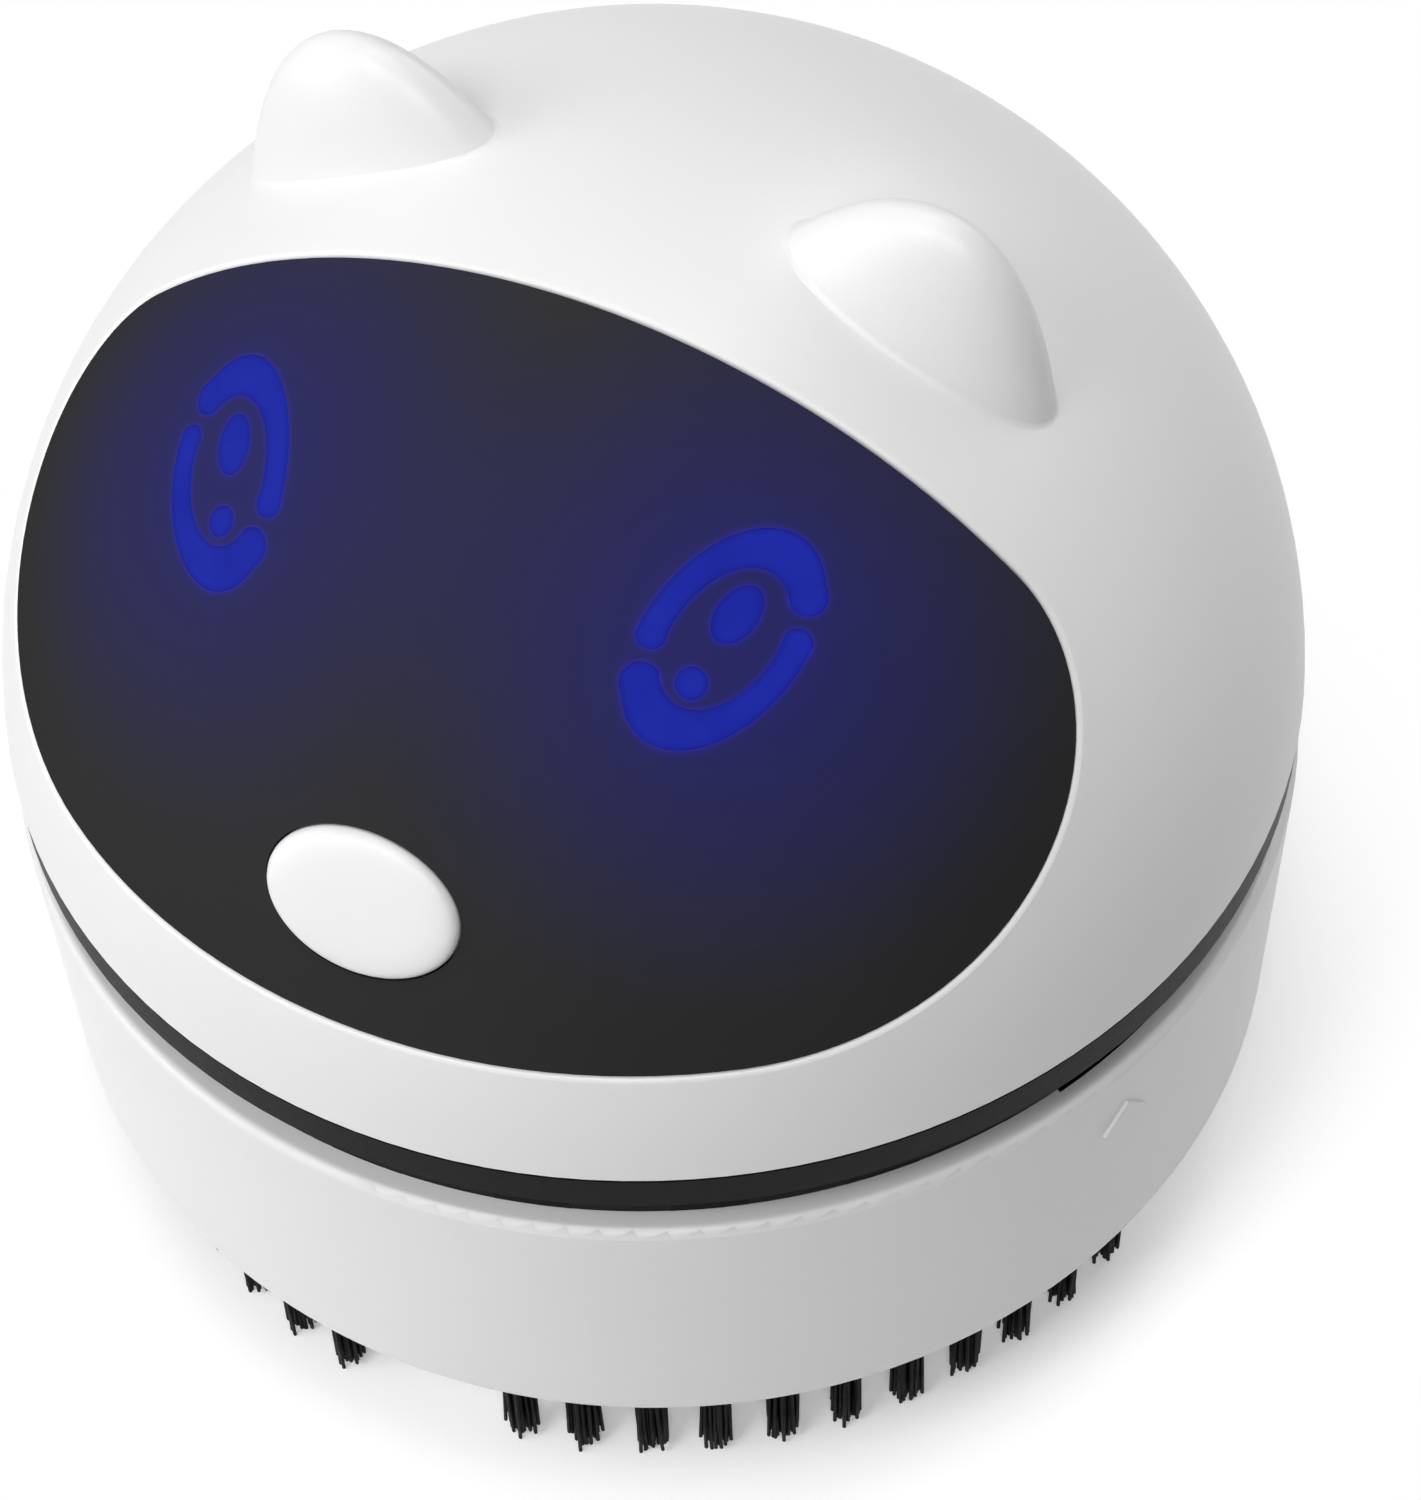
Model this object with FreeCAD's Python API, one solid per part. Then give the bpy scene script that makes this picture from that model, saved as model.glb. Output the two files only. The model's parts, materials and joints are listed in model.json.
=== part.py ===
import FreeCAD, Part
import math
import os

from FreeCAD import Matrix, Placement, Rotation, Vector

# Desktop mini vacuum cleaner. Sizes in millimetres, +Z up, the floor at z = 0 under the
# brush tips, the axis of the round body on Z, and the face towards -Y.

os.makedirs("parts", exist_ok=True)

# Clearances that several pieces share
fit_gap = 0.1               # between pieces that are fixed to each other
turn_gap = 0.3              # between the cup and the body that it turns on
shaft_gap = 0.04            # radial, between a shaft and its bush
overrun = 60.0              # how far a cutting tool runs past what it cuts

# Moulded shell: a sphere cut flat at its rim
shell_radius = 39.8
shell_centre_drop = 2.4     # centre of the sphere below the rim
shell_wall = 2.0
shell_seam_angle = 120.0    # degrees from +X, clear of the ears, the panel and the port
rim_height = 36.6
shell_centre_z = rim_height - shell_centre_drop

# Ears, moulded with the shell as leaning rounded cones
ear_x = 17.0
ear_y = 0.9
ear_half_length = 7.5
ear_half_width = 3.7
ear_side_slope = 23.8       # degrees, follows the dome outwards
ear_back_slope = 13.2       # degrees, rises to the back
ear_rise = 6.8
ear_lean_out = 2.0
ear_lean_back = 0.25
ear_fullness_share = 0.54   # 0.5 is a true paraboloid
ear_skirt_share = 0.35      # buried part of the cone, of its rise
ear_foot_round = 0.4

# Smoked face panel: a side profile carried along X through the dome
panel_back_y = -8.0
panel_foot_rise = 8.0       # above the rim
panel_corner_depth = 24.0
panel_corner_rise = 18.0
panel_corner_weight_share = 0.45
panel_edge_gap = 0.15
panel_recess = 0.1
opening_edge_round = 0.4    # on the shell, round the panel
panel_flange_reach = 2.0
panel_flange_thickness = 1.2

# Eye shapes: two hooked strokes and two dots, in the plane that touches the dome there
eye_x = 14.9
eye_y = -20.25
eye_tilt = -20.0            # degrees, tops lean outwards
eye_outer_half_width = 4.15
eye_outer_half_height = 6.75
eye_inner_half_width = 2.7
eye_inner_half_height = 4.3
eye_gap_angle = 40.0        # degrees round the ring, and again half a turn on
eye_gap_half_angle = 16.0
big_dot_u = -0.3
big_dot_v = 1.4
big_dot_half_width = 1.1
big_dot_half_height = 1.75
small_dot_u = 0.15
small_dot_v = -2.9
small_dot_radius = 0.85
light_gap = 0.04
guide_margin = 1.3          # of the guide plate round the eye shape
guide_thickness = 1.4
hood_wall = 0.9
lamp_board_depth = 9.0      # below the shell's surface
lamp_board_thickness = 1.0
lamp_length = 3.5
lamp_width = 2.8
lamp_height = 1.2
lamp_spread = 3.2

# Nose button and the switch that it presses
nose_rise = 15.7            # centre above the rim
nose_half_width = 5.8
nose_half_height = 4.25
nose_proud = 0.35
nose_crown_rise = 1.1       # of the domed front, from its straight side
nose_fullness = 2.0         # weight of the crown's curve
nose_flange_reach = 1.1
nose_flange_thickness = 0.9
nose_stem_radius = 1.8
button_travel = 0.8
button_rest_gap = 0.15
plunger_radius = 1.6
plunger_height = 1.6
plunger_gap = 0.1
switch_side = 6.0
switch_height = 3.4
switch_board_depth = 12.0
switch_board_length = 22.0
switch_board_width = 8.0
switch_board_thickness = 1.2
switch_post_radius = 1.7
switch_post_spread = 9.0

# Inner frame: deck, band ring under the shell, and neck that the cup turns on
band_inset = 0.15           # of the band behind the shell's surface
band_top_gap = 0.3
band_height = 2.4
recess_inset = 1.3          # of the recess under the band, behind the shell's surface
recess_height = 1.26        # of its part on the frame, above the neck's flange
deck_thickness = 2.0
neck_wall = 2.0
neck_height = 10.1          # with its flange
spigot_height = 1.2
spigot_wall = 1.3
neck_ledge_reach = 1.0
neck_ledge_height = 1.2
vent_count = 24
vent_width = 5.6
vent_height = 1.15          # notches in the neck's upper edge and flange
lug_count = 3
lug_angle = 14.0            # degrees round the neck
lug_reach = 1.1
lug_height = 2.0
lug_drop = 2.8              # top of a lug below the cup's mouth
deck_bore_radius = 4.0

# Dust cup: a wall, a floor plate let in from below, and an inlet tube through the plate
cup_overhang = 0.1          # of its mouth beyond the shell
cup_draft = 0.5             # its bottom is this much smaller in radius
cup_height = 21.3
cup_drop = 5.4              # mouth below the shell's rim
cup_wall = 2.4
cup_floor_thickness = 3.0
cup_top_round = 0.6
cup_mouth_bevel = 0.25
cup_bottom_round = 1.3
floor_ledge = 0.4           # in the wall, on which the floor plate seats
twist_angle = 20.0          # degrees from locked to free
groove_gap = 0.3
inlet_radius = 11.0
inlet_wall = 1.2
inlet_height = 4.2
inlet_flange_reach = 1.8
inlet_flange_height = 0.8
mark_azimuth = 69.0         # degrees from the front, towards +X
mark_drop = 3.9             # its tip below the cup's mouth
mark_width = 3.6
mark_height = 2.0
mark_proud = 0.2

# Brush: a ring in the cup's underside with tufts in four arcs
tuft_inset = 3.8            # of the tufts' ring from the cup's outer edge
tuft_places = 54
front_places_left_out = 2
side_places_left_out = 3
tuft_sides = 10
tuft_root_radius = 1.0
tuft_tip_radius = 1.35
tuft_root_depth = 1.1
brush_ring_thickness = 1.6
brush_ring_half_width = 2.0
brush_screw_boss_height = 3.4
brush_screw_angles = (0.0, 90.0, 180.0, 270.0)

# Filter between cup and fan
filter_frame_height = 2.2
filter_flange_height = 1.0
filter_rim_wall = 2.6
filter_spoke_count = 6
filter_spoke_width = 1.6
filter_hub_radius = 4.0
filter_mesh_thickness = 0.6
seal_height = 1.8
seal_depth = 1.0
seal_rise = 0.8             # above the neck's lower end

# Fan: impeller and the dished cover below it
impeller_post_gap = 3.4     # between the impeller and the cover's posts
impeller_plate_thickness = 1.0
impeller_top_gap = 1.8      # below the deck
impeller_hub_radius = 3.6
impeller_hub_height = 5.6
blade_count = 11
blade_inner_radius = 8.5
blade_inner_height = 4.6
blade_outer_height = 3.0
blade_thickness = 0.9
blade_sweep = 48.0          # degrees back from the inner end to the outer end
fan_tip_gap = 0.8
fan_eye_radius = 9.5
fan_eye_lip = 0.8
fan_cover_thickness = 1.4
cover_post_radius = 2.6
cover_post_inset = 4.2      # from the inside of the neck
cover_post_angles = (0.0, 90.0, 180.0, 270.0)

# Motor
motor_radius = 12.0
motor_length = 24.0
motor_wall = 0.9
motor_cap_height = 4.0
motor_shaft_radius = 1.0
motor_bush_radius = 3.0
motor_bush_height = 2.4
motor_shaft_tail = 1.2      # beyond the end cap
magnet_thickness = 2.4
magnet_angle = 140.0
magnet_height = 13.0
armature_gap = 0.5
armature_slot_width = 2.2
armature_pole_rim = 1.6
armature_core_radius = 3.4
collar_height = 4.0
collar_wall = 1.5
motor_screw_circle = 8.0
terminal_width = 2.4
terminal_thickness = 0.5
terminal_height = 3.0
terminal_spread = 7.0

# Battery cell and its clips
cell_radius = 7.0
cell_length = 43.0
cell_cap_radius = 2.6
cell_cap_height = 1.0
cell_y = 20.0
cell_rise = 10.2            # axis above the deck
cell_clip_spread = 17.5
cell_clip_thickness = 2.4
cell_clip_half_width = 8.0
cell_clip_reach = 3.2       # above the cell's axis
tab_thickness = 0.3
tab_width = 5.0
tab_drop = 9.0

# Main board with the charging port
board_length = 25.0
board_width = 20.0
board_rear_inset = 4.8      # from the shell's surface
board_thickness = 1.2
board_rise = 1.5            # above the deck
board_post_radius = 1.6
board_post_inset = 2.2
port_width = 9.0
port_height = 3.2
port_length = 7.4
port_wall = 0.4
port_front_inset = 1.4      # behind the shell's surface
port_tongue_width = 6.4
port_tongue_thickness = 0.7
port_tongue_share = 0.7     # of the port's length
port_opening_gap = 0.35
chip_side = 4.0
chip_height = 1.1
chip_x = 7.0
chip_y = 26.0

# Screws
screw_radius = 1.0
screw_head_radius = 2.0
screw_head_height = 1.3
screw_hole_gap = 0.15
shell_screw_length = 9.0
cover_screw_length = 7.0
small_screw_length = 4.0
brush_screw_length = 4.2
shell_boss_inset = 7.0      # from the shell's surface
shell_boss_radius = 2.9
shell_boss_height = 9.6
shell_boss_angles = (36.0, 144.0, 210.0, 330.0)
rib_thickness = 1.6

# Heights and radii that follow from the sizes above
band_top_z = rim_height - band_top_gap
band_bottom_z = band_top_z - band_height
neck_top_z = band_bottom_z - recess_height
deck_top_z = band_top_z
deck_bottom_z = deck_top_z - deck_thickness
cup_top_z = rim_height - cup_drop
cup_bottom_z = cup_top_z - cup_height
cup_floor_z = cup_bottom_z + cup_floor_thickness
band_radius = shell_radius - band_inset
recess_radius = shell_radius - recess_inset
cup_top_radius = shell_radius + cup_overhang
cup_bottom_radius = cup_top_radius - cup_draft
cup_inner_radius = cup_top_radius - cup_wall
floor_pocket_radius = cup_inner_radius + floor_ledge
floor_radius = floor_pocket_radius - fit_gap
inlet_outer_radius = inlet_radius + inlet_wall
inlet_flange_top_z = cup_bottom_z + inlet_flange_height
tuft_ring_radius = cup_bottom_radius - tuft_inset
brush_inner_radius = tuft_ring_radius - brush_ring_half_width
shell_boss_circle = shell_radius - shell_boss_inset
board_rear_y = shell_radius - board_rear_inset
board_front_y = board_rear_y - board_width
neck_radius = cup_inner_radius - turn_gap
neck_inner_radius = neck_radius - neck_wall
cover_post_circle = neck_inner_radius - cover_post_inset
impeller_radius = cover_post_circle - cover_post_radius - impeller_post_gap
neck_bottom_z = neck_top_z - neck_height
spigot_radius = shell_radius - shell_wall - 2 * turn_gap
lug_top_z = cup_top_z - lug_drop
lug_bottom_z = lug_top_z - lug_height
impeller_top_z = deck_bottom_z - impeller_top_gap
blade_top_z = impeller_top_z - impeller_plate_thickness
cover_rim_z = blade_top_z - blade_outer_height - fan_tip_gap
cover_eye_z = blade_top_z - blade_inner_height - fan_tip_gap
motor_top_z = deck_top_z + motor_length
cell_z = deck_top_z + cell_rise
board_z = deck_top_z + board_rise
port_z = board_z + board_thickness
up = Vector(0, 0, 1)
origin = Vector(0, 0, 0)
shell_centre = Vector(0, 0, shell_centre_z)


def save(shape, name):
    """Writes one piece, after a check that it is a sound solid."""
    if not shape.isValid() or shape.Volume <= 0:
        raise ValueError(name + " is not a sound solid")
    shape.exportStep("parts/" + name + ".step")
    print(name, len(shape.Solids), "solids", round(shape.Volume, 1))


def fused(shapes):
    """One shape from several that touch or overlap."""
    return shapes[0].multiFuse(shapes[1:])


def cylinder(radius, bottom, top, x=0, y=0):
    return Part.makeCylinder(radius, top - bottom, Vector(x, y, bottom))


def tube(outer, inner, bottom, top):
    return cylinder(outer, bottom, top).cut(cylinder(inner, bottom - overrun, top + overrun))


def block(x, y, bottom, length, width, height):
    """A block with its middle at x, y and its underside at bottom."""
    corner = Vector(x - length / 2, y - width / 2, bottom)
    return Part.makeBox(length, width, height, corner)


def turned(points):
    """The solid that a closed outline of radius and height points makes about Z."""
    corners = [Vector(radius, 0, height) for radius, height in points]
    face = Part.Face(Part.makePolygon(corners + corners[:1]))
    return face.revolve(origin, up, 360)


def conic(start, corner, end, weight):
    """A curve from start to end that heads for corner, fuller as the weight rises."""
    curve = Part.BSplineCurve()
    curve.buildFromPolesMultsKnots([start, corner, end], (3, 3), (0, 1), False, 2, (1, weight, 1))
    return curve.toShape()


def line(start, end):
    return Part.LineSegment(start, end).toShape()


def polar(radius, angle, height=0):
    """A point at an angle in degrees from +X."""
    turn = math.radians(angle)
    return Vector(radius * math.cos(turn), radius * math.sin(turn), height)


def round_z(shape, angle):
    """A copy turned about Z, in degrees."""
    copy = shape.copy()
    copy.rotate(origin, up, angle)
    return copy


def mirrored(shape):
    return shape.mirror(origin, Vector(1, 0, 0))


def circles_at(shape, radius, height):
    """The round edges of a given radius at a given height."""
    tolerance = fit_gap / 10
    found = []
    for edge in shape.Edges:
        circle = edge.Curve
        if isinstance(circle, Part.Circle):
            near_radius = abs(circle.Radius - radius) < tolerance
            near_height = abs(circle.Center.z - height) < tolerance
            if near_radius and near_height:
                found.append(edge)
    return found


def oval_wire(half_u, half_v, centre_u=0, centre_v=0):
    """An ellipse in the XY plane, in one closed edge."""
    centre = Vector(centre_u, centre_v, 0)
    if half_u == half_v:
        return Part.Wire([Part.Circle(centre, up, half_u).toShape()])
    across = centre + Vector(half_u, 0, 0)
    along = centre + Vector(0, half_v, 0)
    far, near = (across, along) if half_u >= half_v else (along, across)
    return Part.Wire([Part.Ellipse(far, near, centre).toShape()])


def oval_prism(half_u, half_v, low, high, centre_u=0, centre_v=0):
    face = Part.Face(oval_wire(half_u, half_v, centre_u, centre_v))
    face.translate(Vector(0, 0, low))
    return face.extrude(Vector(0, 0, high - low))


def dome(inset):
    """The shell's sphere drawn in by inset, solid down to the rim."""
    ball = Part.makeSphere(shell_radius - inset, shell_centre)
    ball.rotate(shell_centre, up, shell_seam_angle)
    below = cylinder(shell_radius + overrun, rim_height - shell_radius - overrun, rim_height)
    return ball.cut(below)


def dome_layer(outer_inset, inner_inset):
    """A skin that follows the shell, between two insets."""
    return dome(outer_inset).cut(dome(inner_inset))


def dome_height(x, y):
    """Height of the shell's surface over a point of the floor."""
    return shell_centre_z + math.sqrt(shell_radius ** 2 - x ** 2 - y ** 2)


def dome_normal(point):
    """The outward direction of the shell's surface."""
    return (point - shell_centre).normalize()


def surface_frame(point):
    """A frame on the shell: local X sideways, local Y up the slope, local Z outwards."""
    normal = dome_normal(point)
    slope = Vector(0, normal.z, -normal.y).normalize()
    side = slope.cross(normal)
    matrix = Matrix(side.x, slope.x, normal.x, point.x,
                    side.y, slope.y, normal.y, point.y,
                    side.z, slope.z, normal.z, point.z,
                    0, 0, 0, 1)
    return Placement(matrix)


def placed(shape, frame):
    copy = shape.copy()
    copy.Placement = frame.multiply(copy.Placement)
    return copy


eye_frame = surface_frame(Vector(eye_x, eye_y, dome_height(eye_x, eye_y)))
eye_frame = eye_frame.multiply(Placement(origin, Rotation(up, eye_tilt)))
nose_z = rim_height + nose_rise
nose_y = -math.sqrt(shell_radius ** 2 - (nose_z - shell_centre_z) ** 2)
nose_frame = surface_frame(Vector(0, nose_y, nose_z))


def screw(length, down=True):
    """A pan head screw with its seat at z = 0 and its shank upwards, or the other way."""
    head = cylinder(screw_head_radius, -screw_head_height, 0)
    shank = cylinder(screw_radius, 0, length)
    shape = head.fuse(shank)
    return shape if down else shape.mirror(origin, up)


def ear(inset):
    """A rounded cone that leans out of the dome, drawn in by inset on every side."""
    low = -ear_skirt_share
    foot = Vector(1 + ear_skirt_share * (1 - ear_fullness_share), 0, low)
    base = Vector(1, 0, 0)
    corner = Vector(ear_fullness_share, 0, 1)
    top = Vector(0, 0, 1)
    centre = Vector(0, 0, low)
    edges = [line(foot, base), conic(base, corner, top, 1), line(top, centre), line(centre, foot)]
    unit = Part.Face(Part.Wire(edges)).revolve(origin, up, 360)
    length = ear_half_length - inset
    width = ear_half_width - inset
    rise_share = (ear_rise - inset) / ear_rise
    side_drop = length * math.tan(math.radians(ear_side_slope))
    back_rise = width * math.tan(math.radians(ear_back_slope))
    matrix = Matrix(length, 0, ear_lean_out * rise_share, ear_x,
                    0, width, ear_lean_back * rise_share, ear_y,
                    -side_drop, back_rise, ear_rise * rise_share, dome_height(ear_x, ear_y),
                    0, 0, 0, 1)
    return unit.transformGeometry(matrix)


def panel_prism(reach):
    """The face panel's side profile carried along X, grown by reach."""
    back = panel_back_y + reach
    foot = rim_height + panel_foot_rise - reach
    corner_back = Vector(-overrun, back, foot + panel_corner_rise + reach)
    corner_foot = Vector(-overrun, back - panel_corner_depth - reach, foot)
    corner = Vector(-overrun, back, foot)
    high_back = Vector(-overrun, back, rim_height + overrun)
    high_front = Vector(-overrun, -overrun, rim_height + overrun)
    low_front = Vector(-overrun, -overrun, foot)
    edges = [
        line(high_back, corner_back),
        conic(corner_back, corner, corner_foot, panel_corner_weight_share),
        line(corner_foot, low_front),
        line(low_front, high_front),
        line(high_front, high_back),
    ]
    return Part.Face(Part.Wire(edges)).extrude(Vector(2 * overrun, 0, 0))


def oval_arc(half_u, half_v, start, end):
    """A piece of an ellipse that is taller than it is wide, and its two ends."""
    oval = Part.Ellipse(Vector(0, half_v, 0), Vector(-half_u, 0, 0), origin)
    quarter = math.pi / 2
    arc = Part.Arc(oval, math.radians(start) - quarter, math.radians(end) - quarter)
    return arc.toShape(), arc.StartPoint, arc.EndPoint


def eye_stroke(start, end, gap):
    """One hooked stroke of an eye between two angles round its ring, with round ends."""
    outer, outer_start, outer_end = oval_arc(eye_outer_half_width - gap,
                                             eye_outer_half_height - gap, start, end)
    inner, inner_end, inner_start = oval_arc(eye_inner_half_width + gap,
                                             eye_inner_half_height + gap, start, end)

    def cap(first, last, forwards):
        middle = (first + last) / 2
        radius = (last - first).Length / 2
        out = up.cross(first - last).normalize() * (radius * forwards)
        return Part.Arc(first, middle + out, last).toShape()

    edges = [outer, cap(outer_end, inner_start, 1), inner, cap(inner_end, outer_start, 1)]
    return Part.Face(Part.Wire(edges))


def eye_prism(gap, low, high):
    """The whole eye shape as prisms along the local Z, drawn in by gap."""
    near = eye_gap_angle + eye_gap_half_angle
    far = eye_gap_angle + 180 - eye_gap_half_angle
    faces = [
        eye_stroke(near, far, gap),
        eye_stroke(near + 180, far + 180, gap),
        Part.Face(oval_wire(big_dot_half_width - gap, big_dot_half_height - gap,
                            big_dot_u, big_dot_v)),
        Part.Face(oval_wire(small_dot_radius - gap, small_dot_radius - gap,
                            small_dot_u, small_dot_v)),
    ]
    prisms = []
    for face in faces:
        face.translate(Vector(0, 0, low))
        prisms.append(face.extrude(Vector(0, 0, high - low)))
    return Part.Compound(prisms)


def guide_plate_prism(extra, low, high):
    """The oval column behind an eye, in the eye's own frame."""
    half_u = eye_outer_half_width + guide_margin + extra
    half_v = eye_outer_half_height + guide_margin + extra
    return placed(oval_prism(half_u, half_v, low, high), eye_frame)


def edges_on_dome(shape, surface_kinds):
    """Edges where the shell's outer sphere meets a face of one of the kinds, above the rim."""
    found = []
    for edge in shape.Edges:
        faces = shape.ancestorsOfType(edge, Part.Face)
        kinds = [face.Surface.TypeId for face in faces]
        outer = [face for face in faces if face.Surface.TypeId == "Part::GeomSphere"
                 and abs(face.Surface.Radius - shell_radius) < fit_gap]
        above = edge.BoundBox.ZMin > rim_height + fit_gap
        if outer and above and any(kind in surface_kinds for kind in kinds):
            found.append(edge)
    return found


def make_top_shell():
    """Hollow dome with hollow ears, panel opening, port opening and screw bosses."""
    outside = fused([dome(0), ear(0), mirrored(ear(0))])
    outside = outside.makeFillet(ear_foot_round, edges_on_dome(outside, ["Part::GeomBSplineSurface"]))
    inside = fused([dome(shell_wall), ear(shell_wall), mirrored(ear(shell_wall))])
    shell = outside.cut(inside)
    shell = shell.cut(panel_prism(0))
    opening_kinds = ["Part::GeomPlane", "Part::GeomSurfaceOfExtrusion"]
    shell = shell.makeFillet(opening_edge_round, edges_on_dome(shell, opening_kinds))
    bosses = []
    cavity = dome(shell_wall / 2)
    for angle in shell_boss_angles:
        place = polar(shell_boss_circle, angle)
        low = deck_top_z + fit_gap
        boss = cylinder(shell_boss_radius, low, low + shell_boss_height, place.x, place.y)
        rib_length = shell_radius - shell_boss_circle
        rib = block(shell_boss_circle + rib_length / 2, 0, rim_height + spigot_height + fit_gap,
                    rib_length, rib_thickness, shell_boss_height - spigot_height - fit_gap)
        boss = boss.fuse(round_z(rib, angle)).common(fused([cavity, cylinder(
            spigot_radius - spigot_wall - fit_gap, low, rim_height)]))
        bosses.append(boss)
    shell = fused([shell] + bosses)
    spigot_room = tube(spigot_radius + fit_gap, spigot_radius - spigot_wall - fit_gap,
                       rim_height - overrun, deck_top_z + spigot_height + fit_gap)
    shell = shell.cut(spigot_room)
    for angle in shell_boss_angles:
        place = polar(shell_boss_circle, angle)
        pilot = cylinder(screw_radius + shaft_gap, deck_top_z - overrun,
                         deck_top_z + shell_screw_length, place.x, place.y)
        shell = shell.cut(pilot)
    width = port_width + 2 * port_opening_gap
    height = port_height + 2 * port_opening_gap
    opening = block(0, shell_radius, port_z - port_opening_gap, width, shell_radius, height)
    return shell.cut(opening)


def make_face_panel():
    """Flush panel with a flange behind the shell, eye windows, nose hole and switch posts."""
    face = dome(panel_recess).common(panel_prism(-panel_edge_gap))
    flange_top = shell_wall + fit_gap
    flange = dome(flange_top).common(panel_prism(panel_flange_reach))
    panel = face.fuse(flange).cut(dome(flange_top + panel_flange_thickness))
    windows = placed(eye_prism(0, -overrun / 6, overrun / 6), eye_frame)
    panel = panel.cut(windows).cut(mirrored(windows))
    nose_hole = oval_prism(nose_half_width + plunger_gap, nose_half_height + plunger_gap,
                           -overrun / 6, overrun / 6)
    panel = panel.cut(placed(nose_hole, nose_frame))
    posts = []
    board_face = -switch_board_depth
    for side in (-1, 1):
        u = side * switch_post_spread
        post = Part.makeCylinder(switch_post_radius, switch_board_depth - shell_wall,
                                 Vector(u, 0, board_face))
        pilot = Part.makeCylinder(screw_radius + shaft_gap, small_screw_length,
                                  Vector(u, 0, board_face))
        posts.append(placed(post.cut(pilot), nose_frame))
    return fused([panel] + posts)


def make_eye_light():
    """Light guide: a curved plate behind the panel with the eye shape raised through it."""
    top = shell_wall + 2 * fit_gap + panel_flange_thickness
    column = guide_plate_prism(0, -overrun / 6, overrun / 6)
    plate = dome_layer(top, top + guide_thickness).common(column)
    shape = placed(eye_prism(light_gap, -overrun / 6, overrun / 6), eye_frame)
    shape = dome_layer(panel_recess, top + guide_thickness / 2).common(shape)
    return fused([plate] + shape.Solids)


def make_lamp_hood():
    """Oval light box from the guide plate down to the lamp board."""
    top = shell_wall + 3 * fit_gap + panel_flange_thickness + guide_thickness
    low = -lamp_board_depth + fit_gap
    column = guide_plate_prism(0, low, overrun / 6)
    bore = guide_plate_prism(-hood_wall, low - overrun, overrun / 6)
    return dome(top).common(column).cut(bore)


def make_lamp_board():
    low = -lamp_board_depth - lamp_board_thickness
    return guide_plate_prism(0, low, -lamp_board_depth)


def make_lamps():
    """Two lamps on each board, one towards each dot of the eye."""
    lamps = []
    for v in (-lamp_spread, lamp_spread):
        lamp = block(0, v, -lamp_board_depth, lamp_width, lamp_length, lamp_height)
        lamps.append(placed(lamp, eye_frame))
    lamps += [mirrored(lamp) for lamp in lamps]
    return Part.Compound(lamps)


def nose_flange_top():
    """Depth of the button flange's front face, clear of the panel's curved back."""
    curve_room = (nose_half_width + nose_flange_reach) ** 2 / (2 * shell_radius)
    return shell_wall + fit_gap + panel_flange_thickness + button_rest_gap + curve_room


def make_nose_button():
    """Oval cap with a domed front, slightly proud of the panel, a flange and a stem behind."""
    back = -nose_flange_top() - nose_flange_thickness
    crown = Vector(0, 0, nose_proud)
    shoulder = Vector(1, 0, nose_proud - nose_crown_rise)
    foot = Vector(1, 0, back)
    centre = Vector(0, 0, back)
    curve = conic(shoulder, Vector(1, 0, nose_proud), crown, nose_fullness)
    edges = [line(foot, shoulder), curve, line(crown, centre), line(centre, foot)]
    unit = Part.Face(Part.Wire(edges)).revolve(origin, up, 360)
    stretch = Matrix(nose_half_width, 0, 0, 0,
                     0, nose_half_height, 0, 0,
                     0, 0, 1, 0,
                     0, 0, 0, 1)
    cap = unit.transformGeometry(stretch)
    flange = oval_prism(nose_half_width + nose_flange_reach, nose_half_height - plunger_gap, back,
                        -nose_flange_top())
    stem_end = -switch_board_depth + switch_height + plunger_height
    stem = Part.makeCylinder(nose_stem_radius, back - stem_end, Vector(0, 0, stem_end))
    return placed(fused([cap, flange, stem]), nose_frame)


def make_switch_plunger():
    low = -switch_board_depth + switch_height - button_travel
    high = -switch_board_depth + switch_height + plunger_height
    pin = Part.makeCylinder(plunger_radius, high - low, Vector(0, 0, low))
    return placed(pin, nose_frame)


def make_switch_body():
    """Square push switch with a well for its plunger."""
    body = block(0, 0, -switch_board_depth, switch_side, switch_side, switch_height)
    depth = 2 * button_travel + plunger_gap
    well = Part.makeCylinder(plunger_radius + plunger_gap, depth + overrun,
                             Vector(0, 0, -switch_board_depth + switch_height - depth))
    return placed(body.cut(well), nose_frame)


def make_switch_board():
    low = -switch_board_depth - switch_board_thickness
    board = block(0, 0, low, switch_board_length, switch_board_width, switch_board_thickness)
    for side in (-1, 1):
        hole = Part.makeCylinder(screw_radius + screw_hole_gap, overrun,
                                 Vector(side * switch_post_spread, 0, low - overrun / 2))
        board = board.cut(hole)
    return placed(board, nose_frame)


def make_switch_screws():
    screws = []
    length = small_screw_length
    for side in (-1, 1):
        one = screw(length)
        low = -switch_board_depth - switch_board_thickness
        one.translate(Vector(side * switch_post_spread, 0, low))
        screws.append(placed(one, nose_frame))
    return Part.Compound(screws)


def ring_sector(outer, inner, bottom, top, start, sweep):
    """A part of a flat ring, from an angle and through a sweep, in degrees."""
    corners = [Vector(inner, 0, bottom), Vector(outer, 0, bottom),
               Vector(outer, 0, top), Vector(inner, 0, top)]
    face = Part.Face(Part.makePolygon(corners + corners[:1]))
    return round_z(face.revolve(origin, up, sweep), start)


def cell_along_x(radius, length):
    """A cylinder along X on the battery cell's axis."""
    return Part.makeCylinder(radius, length, Vector(-length / 2, cell_y, cell_z), Vector(1, 0, 0))


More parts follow.
